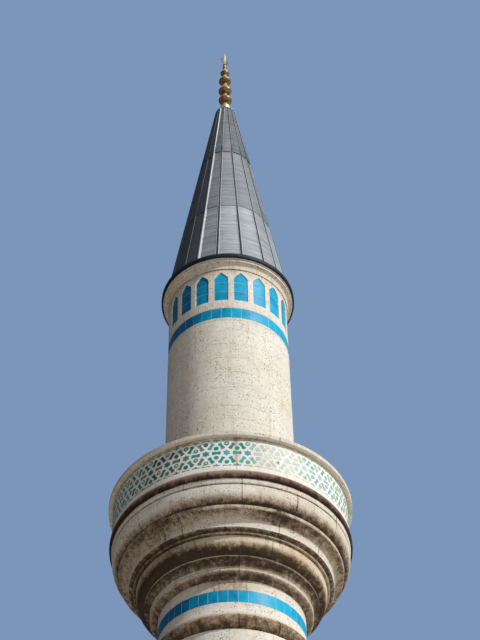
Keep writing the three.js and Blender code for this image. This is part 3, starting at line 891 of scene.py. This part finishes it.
def add_neck():
    low, high = span("neck_wall")
    band_low, band_high = span("lower_tile_band")
    seat = NECK_RADIUS - TILE - PLAY
    profile = [
        (SHAFT_HEAD - 0.015, low, 0.30), (NECK_RADIUS + 0.014, low + 0.09, 0.0),
        (NECK_RADIUS, low + 0.19, 0.0), (NECK_RADIUS, band_low - PLAY, 0.06), (seat, band_low - PLAY, 0.2),
        (seat, band_high + PLAY, 0.2), (NECK_RADIUS, band_high + PLAY, 0.04),
        (NECK_RADIUS, band_high + 0.12, 0.10), (NECK_RADIUS, high, 0.2),
    ]
    moulding("neck_stones", profile, LOWER_BORE, evenly(9, 12, 3), limestone, ["neck_wall"], neck_wear,
             dirty=0.3)
    add_tile_ring("lower_band_tiles", "lower_tile_band", NECK_RADIUS + TILE_PROUD, LOWER_BAND_TILES,
                  LOWER_BAND_TURN)


# Wear, painted shade and painted light round the corbels and the balcony's rim
def side_dirt_and_shade(angle):
    """The courses are darker on the left and at the back, away from the sun: painted shade, with some dirt"""
    return by_angle(angle, {-180: 0.10, -70: 0.10, -38: 0.20, -5: 0, 90: 0, 180: 0.10})


def astragal_wear(angle, height):
    """The astragal is a little cleaner on both sides than in front"""
    return -by_angle(angle, {-180: 0, -60: 0.2, -30: 0.2, -5: 0, 25: 0, 55: 0.22, 120: 0.22, 180: 0})


def small_ovolo_wear_and_light(angle, height):
    """The small ovolo is darkest on the left, partly as painted shade, and it is painted lighter on the
    right, where the sun reaches it
    """
    return 2.3 * side_dirt_and_shade(angle) - by_angle(angle, {25: 0, 55: 0.22, 120: 0.22, 180: 0})


def cove_wear_and_shade(angle, height):
    """The cove is painted darker on the left and at the back as shade, has soot under its fillet on the
    right, and a dark patch in one place
    """
    patch = 0.5 if 23.5 < wrapped(angle) < 29.5 and height > 20.07 else 0.0
    soot = by_angle(angle, {8: 0, 22: 0.45, 38: 0.35, 60: 0.10, 180: 0}) if 20.08 < height < 20.19 else 0.0
    return 1.6 * side_dirt_and_shade(angle) + max(patch, soot)


def large_ovolo_wear(angle, height):
    """The large ovolo is cleaner on the left, and its crust reaches higher on the right"""
    return by_angle(angle, {-180: 0, -70: -0.12, -35: -0.12, -10: 0, 15: 0, 35: 0.15, 90: 0.15, 180: 0})


def roll_wear_and_shade(angle, height):
    """The rim's roll is painted darker on the left and at the back as shade, and is dark on the right too"""
    return side_dirt_and_shade(angle) + by_angle(angle, {5: 0, 25: 0.2, 120: 0.2, 180: 0})


# Courses that carry the balcony out
def add_corbels():
    low, high = span("corbel_astragal_and_cove")
    profile = [(NECK_RADIUS + 0.008, low, 1.0), (1.299, low + 0.052, 0.9)]
    profile += half_round(1.328, low + 0.055, low + 0.153, 0.058, 0.9, -0.15)
    profile.append((1.373, low + 0.163, 0.30))
    profile += quarter((1.388, low + 0.174, 0.80), (1.485, low + 0.279, 1.2), (1.485, low + 0.174))
    profile.append((1.485, high, 0.05))
    moulding("corbel_astragal_stones", profile, LOWER_BORE, evenly(10, -28, 3), moulded_stone,
             ["corbel_astragal_and_cove"], astragal_wear)

    low, high = span("corbel_small_ovolo")
    profile = [(1.497, low, 1.2), (1.510, low + 0.006, 1.2)]
    curve = quarter((1.510, low + 0.006, 2.3), (1.633, high - 0.041, -0.50), (1.510, high - 0.041), 14)[1:]
    profile += [(radius, height, min(1.2, max(0.02, wear))) for radius, height, wear in curve]
    profile += [(1.633, high - 0.023, 0.9), (1.680, high - 0.017, 0.35), (1.684, high, 0.1)]
    moulding("corbel_small_ovolo_stones", profile, LOWER_BORE, evenly(11, -5, 3), crusted_stone,
             ["corbel_small_ovolo"], small_ovolo_wear_and_light)

    low, high = span("corbel_cove")
    profile = [(1.691, low, 0.9), (1.696, low + 0.040, 0.9), (1.755, low + 0.052, 0.6),
               (1.755, low + 0.056, 0.0), (1.755, low + 0.086, 0.0)]
    profile += quarter((1.759, low + 0.092, 0.05), (1.913, low + 0.293, 0.60), (1.913, low + 0.092))
    profile += [(1.940, low + 0.305, 0.45), (1.946, low + 0.360, 0.30), (1.932, low + 0.366, 0.3),
                (1.932, high, 0.8)]
    moulding("corbel_cove_stones", profile, LOWER_BORE, filled(COVE_JOINTS, 13), moulded_stone,
             ["corbel_cove"], cove_wear_and_shade)

    low, high = span("corbel_large_ovolo")
    curve = quarter((1.939, low + 0.017, 1.1), (2.068, high - 0.053, -0.38), (1.939, high - 0.053), 14)
    profile = [(1.932, low, 1.0)]
    profile += [(radius, height, max(0.0, wear)) for radius, height, wear in curve]
    profile += [(2.068, high - 0.031, 0.0), (2.054, high - 0.023, 0.4), (2.054, high, 0.6)]
    moulding("corbel_large_ovolo_stones", profile, UPPER_BORE - 0.05, filled(LARGE_OVOLO_JOINTS, 13),
             moulded_stone, ["corbel_large_ovolo"], large_ovolo_wear)


# Balcony: rim, deck, parapet and cap
def add_balcony():
    low, high = span("balcony_rim_moulding")
    fillet = [(2.064, low, 0.5), (2.074, low + 0.014, 0.0), (2.078, low + 0.065, 0.0),
              (2.086, low + 0.090, 0.6)]
    moulding("balcony_fillet_stones", fillet, PANEL_INSIDE, filled(LARGE_OVOLO_JOINTS, 13), moulded_stone,
             ["balcony_rim_moulding"])
    roll = [(2.088, low + 0.092, 1.0), (2.094, low + 0.095, 0.9)]
    roll += half_round(2.098, low + 0.097, low + 0.251, 0.026, 1.15, -0.40)
    roll.append((PANEL_FACE + 0.010, low + 0.259, 0.1))
    moulding("balcony_rim_roll", roll, PANEL_INSIDE, filled(RIM_JOINTS, 12), rose_stone, extra=roll_wear_and_shade)
    margin = [(PANEL_FACE + 0.008, low + 0.2595, 0.2), (PANEL_FACE + 0.010, low + 0.268, 0.0),
              (PANEL_FACE + 0.010, high - 0.006, 0.0), (PANEL_FACE + 0.005, high, 0.1)]
    moulding("balcony_rim_margin", margin, PANEL_INSIDE, filled(PANEL_JOINTS, 16), mosaic_ground, dirty=0.3)
    add_deck()
    add_parapet()
    add_mosaic()


def add_deck():
    """Two rings of flags round a core"""
    deck = Blocks()
    low, high = span("balcony_deck")
    core = UPPER_RADIUS[0]
    middle = 1.55
    for inner, outer, count, turn in ((core, middle, 16, 0), (middle, widest("balcony_deck"), 20, 5)):
        outline = np.array([
            (inner + 0.001, low, 0.3), (outer - 0.001, low, 0.3), (outer - 0.001, high - 0.003, 0.4),
            (outer - 0.005, high, 0.25), ((inner + outer) / 2, high, 0.05), (inner + 0.005, high, 0.25),
            (inner + 0.001, high - 0.003, 0.4),
        ])
        end_outline = inset_outline(outline, 0.003)
        end_outline[:, 2] += 0.3
        for start, end in pairs(evenly(count, turn, 1.0), True):
            angles = sampled(start, end, outer)
            add_stone(deck, angles, [end_outline] + [outline] * (len(angles) - 2) + [end_outline], spread())
    turned(deck, box_outline(UPPER_BORE, core, low, high, 0.2, 0.2))
    deck.make("balcony_deck_flags", limestone, ["balcony_deck"])


def ground_wear_and_shade(angle, height):
    """Brown dirt on the patched strip of the mosaic, a darker band along the panels' head, and grey on the
    left part as painted shade
    """
    turn = wrapped(angle)
    strip = 0.32 if REPAIR[0] - 0.4 < turn < REPAIR[1] + 0.4 else 0.08 if 9 < turn < 21 else 0.0
    lip = 0.3 if height > head("parapet_panel_1") - 0.025 else 0.0
    # the grey on the left is painted shade
    return strip + lip + by_angle(turn, {-60: 0.07, -40: 0.14, -24: 0.14, -15: 0})


def add_parapet():
    panels = [f"parapet_panel_{k + 1}" for k in range(8)]
    joints = filled(PANEL_JOINTS, 16)
    low, high = span(panels[0])
    rim = PANEL_FACE + 0.014
    profile = [(PANEL_FACE, low, 0.10), (PANEL_FACE, low + 0.08, 0.0), (PANEL_FACE, high - 0.08, 0.0),
               (PANEL_FACE, high - 0.023, 0.0), (rim, high - 0.014, 0.15), (rim, high, 0.3)]
    moulding("parapet_panels", profile, PANEL_INSIDE, joints, mosaic_ground, panels, ground_wear_and_shade, 0.0005, 0.3)
    low, high = span("parapet_cap")
    profile = [(PANEL_FACE + 0.030, low, 0.10), (2.156, low + 0.005, 0.10), (2.164, low + 0.010, 0.05),
               (2.165, low + 0.020, 0.10), (2.168, low + 0.076, 0.12), (2.160, high, 0.05)]
    moulding("parapet_cap_stones", profile, PANEL_INSIDE - 0.03, joints, moulded_stone, ["parapet_cap"],
             dirty=0.35)


# Mosaic on the parapet
def field_fade_and_painted_glare(angle):
    """How far the mosaic is bleached at an angle; the peak between 13° and 40° is also the sun's highlight,
    painted on
    """
    return by_angle(angle, {-60: 0.10, 4: 0.02, 9: 0.08, 13: 0.60, 22: 0.85, 32: 0.78, 40: 0.42, 60: 0.34,
                            90: 0.2, 180: 0.10})


def field_painted_shade_and_light(angle):
    """The mosaic's pieces are painted nearly black left of the middle, as shade, and bright in front, as
    painted light
    """
    return by_angle(angle, {-180: 0, -70: -0.2, -48: -0.5, -38: -2, -24: -1.6, -16: 0, 0: 0.6, 60: 0.8,
                            180: 0})


def add_mosaic():
    """Stars on a lattice of triangles, a bone between every two and a hexagon in every triangle"""
    spacing = math.radians(360 / STARS) * PANEL_FACE
    row_height = spacing * math.sqrt(3) / 2
    bone = [(0.018, 0.024), (0.036, 0.031), (0.060, 0.036), (0.072, 0.022)]
    bone += [(x, -y) for x, y in reversed(bone)]
    bone += [(-x, -y) for x, y in bone]
    sixth = math.pi / 3
    tips = (STAR_TIP, STAR_TIP / math.sqrt(3))
    star = [(tips[k % 2] * math.sin(k * sixth / 2), tips[k % 2] * math.cos(k * sixth / 2)) for k in range(12)]
    hexagon = [(HEXAGON * math.cos(k * sixth), HEXAGON * math.sin(k * sixth)) for k in range(6)]
    place = on_wall(PANEL_FACE)

    def piece(blocks, shape, x, y, turn=0.0, size=1.0, lift=0.0):
        """A flat piece round (x, y), cut off at the field's edges"""
        cosine = math.cos(math.radians(turn))
        sine = math.sin(math.radians(turn))
        outline = [(x + size * (a * cosine - b * sine), y + size * (a * sine + b * cosine)) for a, b in shape]
        triangles = [clipped([(x, y), a, b], FIELD_FOOT, FIELD_HEAD) for a, b in sides(outline)]
        triangles = [triangle for triangle in triangles if triangle]
        angle = wrapped(math.degrees(x / PANEL_FACE))
        if not triangles or REPAIR[0] < angle < REPAIR[1] and dice.random() < 0.75:
            return
        # the fade paints bleaching together with the sun's highlight, and the tint paints shade on the left
        fade_and_glare = float(np.clip(field_fade_and_painted_glare(angle) + spread(0.12), 0, 0.95))
        tint = field_painted_shade_and_light(angle) + spread(0.8)
        thicken(blocks, triangles, place, 0.0035 + lift, -0.002, tint, fade_and_glare)

    stars = Blocks()
    bones = Blocks()
    hearts = Blocks()
    for row in (-1, 0, 1):
        for k in range(STARS):
            x = math.radians(STAR_TURN) * PANEL_FACE + spacing * (k + (0.5 if row else 0.0))
            y = STAR_ROW + row * row_height
            piece(stars, star, x, y)
            piece(bones, bone, x + spacing / 2, y)
            if row == 1:
                continue
            piece(bones, bone, x + spacing / 4, y + row_height / 2, 60)
            piece(bones, bone, x - spacing / 4, y + row_height / 2, -60)
            for middle in ((x, y + spacing / math.sqrt(3)), (x + spacing / 2, y + row_height / 3)):
                piece(bones, hexagon, *middle, 30)
                if dice.random() < 0.4:
                    piece(hearts, hexagon, *middle, 30, 0.45, 0.001)
    stars.make("mosaic_stars", star_blue, sharp=30)
    bones.make("mosaic_bones_and_hexagons", teal, sharp=30)
    hearts.make("mosaic_hexagon_hearts", limestone, sharp=30)


# Shaft above the balcony, with its frieze
def add_upper_shaft():
    deck = head("balcony_deck")
    sill, lintel = BALCONY_DOOR
    frame_top = lintel + BALCONY_FRAME
    reach = tapered(*UPPER_RADIUS, deck, foot("frieze_wall"))
    face = reach(180, (sill + lintel) / 2)
    half_angle = math.degrees((BALCONY_DOOR_HALF + BALCONY_FRAME) / face)
    between = courses(frame_top, UPPER_COURSES[-1], 0.36, 0.0)[1:-1]
    beside = courses(sill, frame_top, 0.36, 0.0)
    lines = sorted({deck, *beside, *between, *UPPER_COURSES, foot("frieze_wall")})
    shaft = Blocks()
    ashlar(shaft, reach, lines, bonded(10), 0.06, [(180 - half_angle, 180 + half_angle, deck - 1, frame_top)])
    shaft.make("upper_shaft_stones", limestone)

    frame_stones = Blocks()
    place = on_wall(face, 180)
    outer = BALCONY_DOOR_HALF + BALCONY_FRAME - 0.002
    for side in (1, -1):
        columns = [side * BALCONY_DOOR_HALF, side * (BALCONY_DOOR_HALF + BALCONY_FRAME / 2), side * outer]
        for low, high in pairs(beside):
            jamb = strips(columns, low + JOINT, min(high, lintel) - JOINT)
            thicken(frame_stones, jamb, place, 0.018, -0.03, spread(), 0.1)
    for low, high in ((lintel, frame_top), (sill - 0.098, sill)):
        beam = strips(np.linspace(outer, -outer, 13), low + JOINT, high - JOINT)
        thicken(frame_stones, beam, place, 0.022, -0.03, spread(), 0.1)
    frame_stones.make("balcony_doorway_frame", moulded_stone, sharp=30)
    add_frieze()


def add_frieze():
    low, high = span("frieze_wall")
    band_low, band_high = span("upper_tile_band")
    seat = FRIEZE_RADIUS - TILE - PLAY
    tile_back = FRIEZE_RADIUS - NICHE_DEPTH - TILE
    ring("frieze_ring", [
        (UPPER_BORE, low, 0.2), (FRIEZE_RADIUS + 0.004, low, 0.2),
        (FRIEZE_RADIUS + 0.003, band_low - PLAY, 0.05), (seat, band_low - PLAY, 0.1), (seat, band_high, 0.1),
        (tile_back, band_high, 0.1), (tile_back, high, 0.1), (UPPER_BORE, high, 0.2),
    ], limestone, ["frieze_wall"], 128)
    add_tile_ring("upper_band_tiles", "upper_tile_band", FRIEZE_RADIUS + TILE_PROUD, UPPER_BAND_TILES,
                  NICHE_TURN + 180 / UPPER_BAND_TILES)
    add_arcade(band_high, high)
    add_niche_tiles()


def niche_top(along):
    """Height of a niche's pointed head at a distance from its middle"""
    share = min(1.0, abs(along) / NICHE_HALF)
    return NICHE_APEX - (NICHE_APEX - NICHE_SHOULDER) * (0.75 * share + 0.25 * share ** 2.2)


def add_arcade(low, high):
    """The stone face with its pointed niches"""
    pier = math.pi * FRIEZE_RADIUS / NICHES - NICHE_HALF
    outside = [NICHE_HALF + pier * share for share in (0.0, 0.35, 0.7, 1.0)]
    polygons = []
    for side in (-1, 1):
        for a, b in pairs(outside):
            for bottom, top in pairs((low, NICHE_FOOT, NICHE_SHOULDER, high)):
                polygons += strips((side * a, side * b), bottom, top)
    for column in pairs(np.linspace(-NICHE_HALF, NICHE_HALF, 11)):
        polygons += strips(column, low, NICHE_FOOT) + strips(column, niche_top, high)

    def wear(along, up):
        return 0.10 if up < low + 0.02 else 0.3 if up > high - 0.02 else 0.0

    arcade = Blocks()
    for niche in range(NICHES):
        place = on_wall(FRIEZE_RADIUS, NICHE_TURN + 360 * niche / NICHES)
        thicken(arcade, polygons, place, 0.003, -NICHE_DEPTH, spread(0.25), wear)
    arcade.make("niche_arcade_stone", limestone, ["niche_arcade"], 30)


def add_niche_tiles():
    """Three tiles in each niche, and the pale mortar that holds them"""
    edge = NICHE_HALF - 0.005
    columns = np.linspace(-edge, edge, 9)
    lower, upper = NICHE_JOINTS
    shapes = (strips(columns, NICHE_FOOT + 0.006, lower - NICHE_GROUT),
              strips(columns, lower, upper - NICHE_GROUT),
              strips(columns, upper, lambda along: niche_top(along) - 0.006))
    half = NICHE_HALF + 0.01
    backing = strips(np.linspace(-half, half, 7), NICHE_FOOT - 0.02, NICHE_APEX + 0.02)
    front = TILES_FORWARD - NICHE_DEPTH
    back = -TILE - NICHE_DEPTH
    tiles = Blocks()
    bed = Blocks()
    for niche in range(NICHES):
        turn = NICHE_TURN + 360 * niche / NICHES
        place = on_wall(FRIEZE_RADIUS, turn)
        for shape in shapes:
            thicken(tiles, shape, place, front, back, glaze_tint_painted_shade(turn) + spread(0.5), 0.0)
        thicken(bed, backing, place, front - 0.0025, back + 0.001, 0.0, 0.0)
    tiles.make("niche_wall_tiles", turquoise, ["niche_tiles"], 30)
    bed.make("niche_mortar", grout, sharp=30)


# Cornice, eave and lead roof
def add_roof():
    low, high = span("cornice")
    profile = [(1.182, low, 0.6), (1.189, low + 0.016, 0.0)]
    profile += quarter((1.193, low + 0.024, 0.10), (1.258, low + 0.144, 0.30), (1.258, low + 0.024))
    profile += [(1.271, low + 0.152, 0.0), (1.271, low + 0.192, 0.0), (1.262, high, 0.5)]
    moulding("cornice_stones", profile, UPPER_BORE, evenly(12, 1, 3), moulded_stone, ["cornice"], dirty=0.4)

    low, high = span("eave_rim")
    edge = widest("eave_rim")
    inner = UPPER_BORE + 0.06
    lip = low + 0.013
    ring("eave_lip", [(inner, low, 0.3), (1.272, low, 0.5), (1.276, low, 0.1), (1.287, low, 0.0),
                      (1.290, lip, 0.1), (inner, lip, 0.3)], moulded_stone, [], 160, 50)
    ring("eave_edge", [(inner, lip + JOINT, 0.9), (edge - 0.008, lip + JOINT, 1.0), (edge, low + 0.020, 1.0),
                       (edge + 0.002, low + 0.060, 1.0), (edge, high - 0.016, 1.0), (edge - 0.011, high, 0.9),
                       (inner, high, 0.5)], black_lead, ["eave_rim"], 160, 50)
    add_lead()
    add_rolls()
    add_shoulder_cap()


def cone_radius(height):
    """Radius of the lead sheets, which lie a little inside the CAD cone"""
    low = foot("roof_lower_course")
    bottom = widest("roof_lower_course") - 0.016
    top = widest("roof_shoulder_cap") - 0.016
    return bottom + (top - bottom) * (height - low) / (head("roof_upper_course") - low)


def patina_and_painted_shade(angle, course):
    """How dark the lead is: most of all on the left, where it is painted shade, least in front, and more
    towards the top
    """
    side = by_angle(angle, {-180: 0.3, -90: 0.8, -50: 0.92, -36: 0.84, -19: 0.16, 2: 0.05, 25: 0.28, 60: 0.34,
                            180: 0.3})
    return min(0.85, side + (0.0, 0.26, 0.44)[course])


def add_lead():
    """Sheets of lead between the seams in three courses, on boards"""
    nodes = ["roof_lower_course", "roof_middle_course", "roof_upper_course"]
    low = foot(nodes[0])
    high = head(nodes[2])
    foot_radius = cone_radius(low)
    head_radius = cone_radius(high)
    ring("roof_boards", [(foot_radius - 0.06, low, 0.4), (foot_radius - 0.009, low, 0.8),
                         (head_radius - 0.009, high, 0.8), (head_radius - 0.06, high, 0.4)], lead, nodes)
    sheets = Blocks()
    for start, end in pairs(filled(LEAD_SEAMS, SEAM_COUNT), True):
        lowered = -0.07 if wrapped((start + end) / 2) < -30 else 0.0
        laps = [foot(node) + lowered + spread(0.02) for node in nodes[1:]]
        for course, (bottom, top) in enumerate(pairs([low, *laps, high])):
            add_sheet(sheets, start, end, bottom - (0.05 if course else 0.0), top, course)
    sheets.make("lead_sheets", lead, sharp=30)


def add_sheet(blocks, start, end, bottom, top, course):
    """One sheet between two seams; an upper one lies over the sheet below it"""
    rows = 7
    columns = 9
    angles = np.linspace(start, end, columns)
    shares = np.linspace(0, 1, columns)
    dish = -0.006 * np.sin(math.pi * shares) * (1 if course < 2 else 0.4)
    worn = 0.16 * (1 - 4 * shares * (1 - shares)) ** 2 + patina_and_painted_shade((start + end) / 2, course)
    points = []
    wear = []
    for row, height in enumerate(np.linspace(bottom, top, rows)):
        lift = 0.010 * (1 - row / (rows - 1)) if course else 0.002
        radii = cone_radius(height) + lift + dish
        points += [on_tower(angles, radii, height), on_tower(angles[::-1], radii[::-1] - 0.004, height)]
        # each sheet's lower edge is painted dark, as the shadow under its lap
        wear += [worn, np.full(columns, 0.0 if row else 0.85)]
    blocks.add(np.concatenate(points), sweep(rows, 2 * columns), spread(), np.concatenate(wear))


def add_rolls():
    """A roll over every seam, between two dressed edges of the sheets, which are painted bright as highlights
    except on the left side, where they are painted dark as shade; the roll near -28° is painted bright as the
    sun's highlight"""
    rolls = Blocks()
    low = foot("roof_lower_course")
    high = head("roof_upper_course")
    heights = np.linspace(low + 0.004, high + 0.02, 15)
    around = np.radians(30 * np.arange(12))
    for seam in filled(LEAD_SEAMS, SEAM_COUNT):
        turn = wrapped(seam)
        # painted highlight: the roll near -28° is painted bright where it catches the sun; the other rolls
        # are dark
        middle = -0.6 if -32 < turn < -20 else 0.97
        # the lips beside each roll are painted bright as highlights, and dark as painted shade on the left
        # side
        left, right = (0.75, 0.75) if turn < -32 else (-0.35, -0.45)
        for across, half, rise, wear in ((0.0, 0.019, 0.017, middle), (-0.029, 0.007, 0.008, left),
                                         (0.029, 0.007, 0.008, right)):
            points = []
            for height in heights:
                size = 1 - 0.55 * (height - low) / (high - low)
                radius = cone_radius(height)
                along = (across + half * np.cos(around)) * size
                out = radius + 0.002 + rise * np.sin(around) * (0.5 + 0.5 * size)
                points.append(on_tower(seam + np.degrees(along / radius), out, height))
            rolls.add(points, sweep(len(heights), 12), spread(), wear)
    rolls.make("seam_rolls", lead, sharp=40)


def add_shoulder_cap():
    """Lead dressed over the cone's head, with a fold over every seam"""
    cap = Blocks()
    low, high = span("roof_shoulder_cap")
    edge = widest("roof_shoulder_cap")
    outside = [(edge - 0.002, low), (edge, low + 0.015), (0.224, low + 0.042), (0.196, low + 0.078),
               (0.150, low + 0.120), (0.114, low + 0.150), (0.106, high), (0.05, high)]
    angles = 360 * np.arange(108) / 108
    fold = 0.5 + 0.5 * np.cos(np.radians((angles - LEAD_SEAMS[4]) * SEAM_COUNT))
    points = []
    wear = []
    for radius, height in outside:
        folded = 0.010 * fold * radius / edge if radius > 0.1 else 0.0
        points.append(on_tower(angles, radius - folded, height + 0 * angles))
        wear.append(np.where((fold > 0.6) & (radius > 0.11), 0.9, -0.1))
    for radius, height in ((0.05, high - 0.07), (edge - 0.06, low)):
        points.append(on_tower(angles, radius, height))
        wear.append(np.full(len(angles), 0.3))
    cap.add(points, sweep(len(points), len(angles), True), 0.0, wear)
    cap.make("shoulder_cap_lead", lead, ["roof_shoulder_cap"], 45)


# Finial
def add_finial():
    collar = Blocks()
    low = foot("finial_collar")
    solid_of(collar, [(0.094, low, 0.5), (0.104, low + 0.055, 0.1), (0.107, low + 0.120, 0.0),
                      (0.102, low + 0.150, 0.0), (0.076, low + 0.187, 0.0), (0.055, low + 0.226, 0.0),
                      (0.039, low + 0.2847, 0.1)])
    collar.make("finial_collar_gilt", gold, ["finial_collar"], 60)
    add_beads()
    add_crescent()


def add_beads():
    """Beads, painted dark brown below their middles as shade, on a thin neck"""
    heights = (33.875, 34.225, 34.605, 34.915, 35.132, 35.245)
    radii = (0.152, 0.150, 0.141, 0.103, 0.052, 0.044)
    neck = 0.035
    low, top = span("finial_beads")
    feet = [height - radius / 2 for height, radius in zip(heights, radii)]
    profile = [(neck, low, 0.1)]
    for height, radius, crown in zip(heights, radii, feet[1:] + [top]):
        slim = min(neck, radius * 0.6)
        # painted shade: the lower half of each bead is painted dark brown
        profile += [(slim + (radius - slim) * math.sin(turn), height - radius / 2 * math.cos(turn), worn)
                    for turn, worn in zip(np.linspace(0, math.pi / 2, 9), np.linspace(0.95, 0.75, 9))]
        shoulder = height + radius * 0.2
        profile += [(radius * 0.99, height + radius * 0.09, 0.3), (radius * 0.94, shoulder, 0.0)]
        profile += [(slim + (radius * 0.94 - slim) * (1 - share) ** 1.6,
                     shoulder + (crown - 0.003 - shoulder) * share, 0.0) for share in np.arange(1, 7) / 6]
    beads = Blocks()
    solid_of(beads, profile)
    beads.make("finial_beads_gilt", gold, ["finial_beads"], 60)


def add_crescent():
    """A crescent with its horns up and a spike through it"""
    crescent = Blocks()
    centre = 35.405
    radius = 0.100
    turn = math.radians(40)
    opening = math.radians(40)
    around = 2 * math.pi * np.arange(10) / 10
    steps = 28
    points = []
    for share in np.linspace(0, 1, steps + 1):
        angle = math.pi / 2 + opening + share * (2 * math.pi - 2 * opening)
        swell = math.sin(math.pi * share)
        width = 0.004 + 0.019 * swell ** 0.8
        size = radius - width + width * np.cos(around)
        across = size * math.cos(angle)
        thick = (0.005 + 0.009 * swell ** 0.6) * np.sin(around)
        points.append(np.stack([across * math.cos(turn) - thick * math.sin(turn),
                                across * math.sin(turn) + thick * math.cos(turn),
                                centre + size * math.sin(angle)], axis=-1))
    # painted dark brown: partly dark oxide, partly painted shade
    crescent.add(points, sweep(steps + 1, len(around)), 0.0, 0.95)
    low = head("finial_beads") + 0.0003
    high = head("finial_crescent")
    spike = [(0.024, low, 0.3), (0.020, low + 0.03, 0.2), (0.013, low + 0.06, 0.3),
             (0.012, centre - 0.02, 0.3), (0.017, centre + 0.06, 0.0), (0.019, centre + 0.14, 0.0),
             (0.016, high - 0.09, 0.0), (0.008, high - 0.03, 0.0), (0.002, high, 0.0)]
    solid_of(crescent, spike, 16)
    crescent.make("finial_crescent_gilt", gold, ["finial_crescent"], 60)


# CAD nodes that stay in view are of limestone
def dress_cad_nodes():
    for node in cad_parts.values():
        if not node.hide_render:
            node.data.materials.clear()
            node.data.materials.append(limestone[0])


# Camera, light and surroundings
def add_camera():
    pitch, roll, yaw = (math.radians(angle) for angle in (CAMERA_PITCH, CAMERA_ROLL, CAMERA_YAW))
    forward = Vector((math.sin(yaw) * math.cos(pitch), math.cos(yaw) * math.cos(pitch), math.sin(pitch)))
    level = Vector((math.cos(yaw), -math.sin(yaw), 0))
    upright = level.cross(forward)
    right = level * math.cos(roll) + upright * math.sin(roll)
    up = upright * math.cos(roll) - level * math.sin(roll)
    lens = bpy.data.cameras.new("camera")
    lens.lens = CAMERA_LENS
    lens.sensor_width = 36
    lens.clip_end = 300
    camera = linked("camera", lens)
    place = Matrix((right, up, -forward)).transposed().to_4x4()
    place.translation = Vector((0, -CAMERA_DISTANCE, CAMERA_HEIGHT))
    camera.matrix_world = place
    bpy.context.scene.camera = camera


def add_studio():
    """A pale floor, a soft sun from the right, and surroundings that are brighter on the sun's side"""
    floor = bpy.data.meshes.new("floor")
    rim = [tuple(on_tower(360 * k / 96, 14.0, -0.003)) for k in range(96)]
    floor.from_pydata(rim, [], [tuple(range(96))])
    pale = bpy.data.materials.new("pale_floor")
    pale.use_nodes = True
    inputs = pale.node_tree.nodes["Principled BSDF"].inputs
    inputs["Base Color"].default_value = (0.62, 0.62, 0.61, 1)
    inputs["Roughness"].default_value = 0.9
    floor.materials.append(pale)
    linked("floor", floor)

    sun = bpy.data.lights.new("sun", "SUN")
    sun.energy = SUN_STRENGTH
    sun.angle = math.radians(2.0)
    sun.color = (1.0, 0.99, 0.965)
    lamp = linked("sun", sun)
    turn = math.radians(SUN_ANGLE)
    rise = math.radians(SUN_ELEVATION)
    towards = Vector((math.sin(turn) * math.cos(rise), -math.cos(turn) * math.cos(rise), math.sin(rise)))
    lamp.rotation_mode = "QUATERNION"
    lamp.rotation_quaternion = towards.to_track_quat("Z", "Y")

    world = bpy.data.worlds.new("studio")
    bpy.context.scene.world = world
    n = Nodes(world)
    parts = n.new("SeparateXYZ", {"Vector": n.coordinates["Generated"]}).outputs
    side = n.ranged(parts["X"], -0.58, 0.0)
    sky = n.mixed(side, (0.070, 0.080, 0.109), (0.34, 0.38, 0.43))
    ground = n.mixed(side, (0.188, 0.156, 0.129), (0.80, 0.735, 0.65))
    light = n.mixed(n.ranged(parts["Z"], -0.12, 0.12), ground, sky)
    seen = n.new("LightPath").outputs["Is Camera Ray"]
    n.feed(n.tree.nodes["Background"].inputs["Color"], n.mixed(seen, light, BACKDROP))
    bpy.context.scene.view_settings.view_transform = "Standard"


add_camera()
add_base()
add_lower_shaft()
add_neck()
add_corbels()
add_balcony()
add_upper_shaft()
add_roof()
add_finial()
dress_cad_nodes()
add_studio()
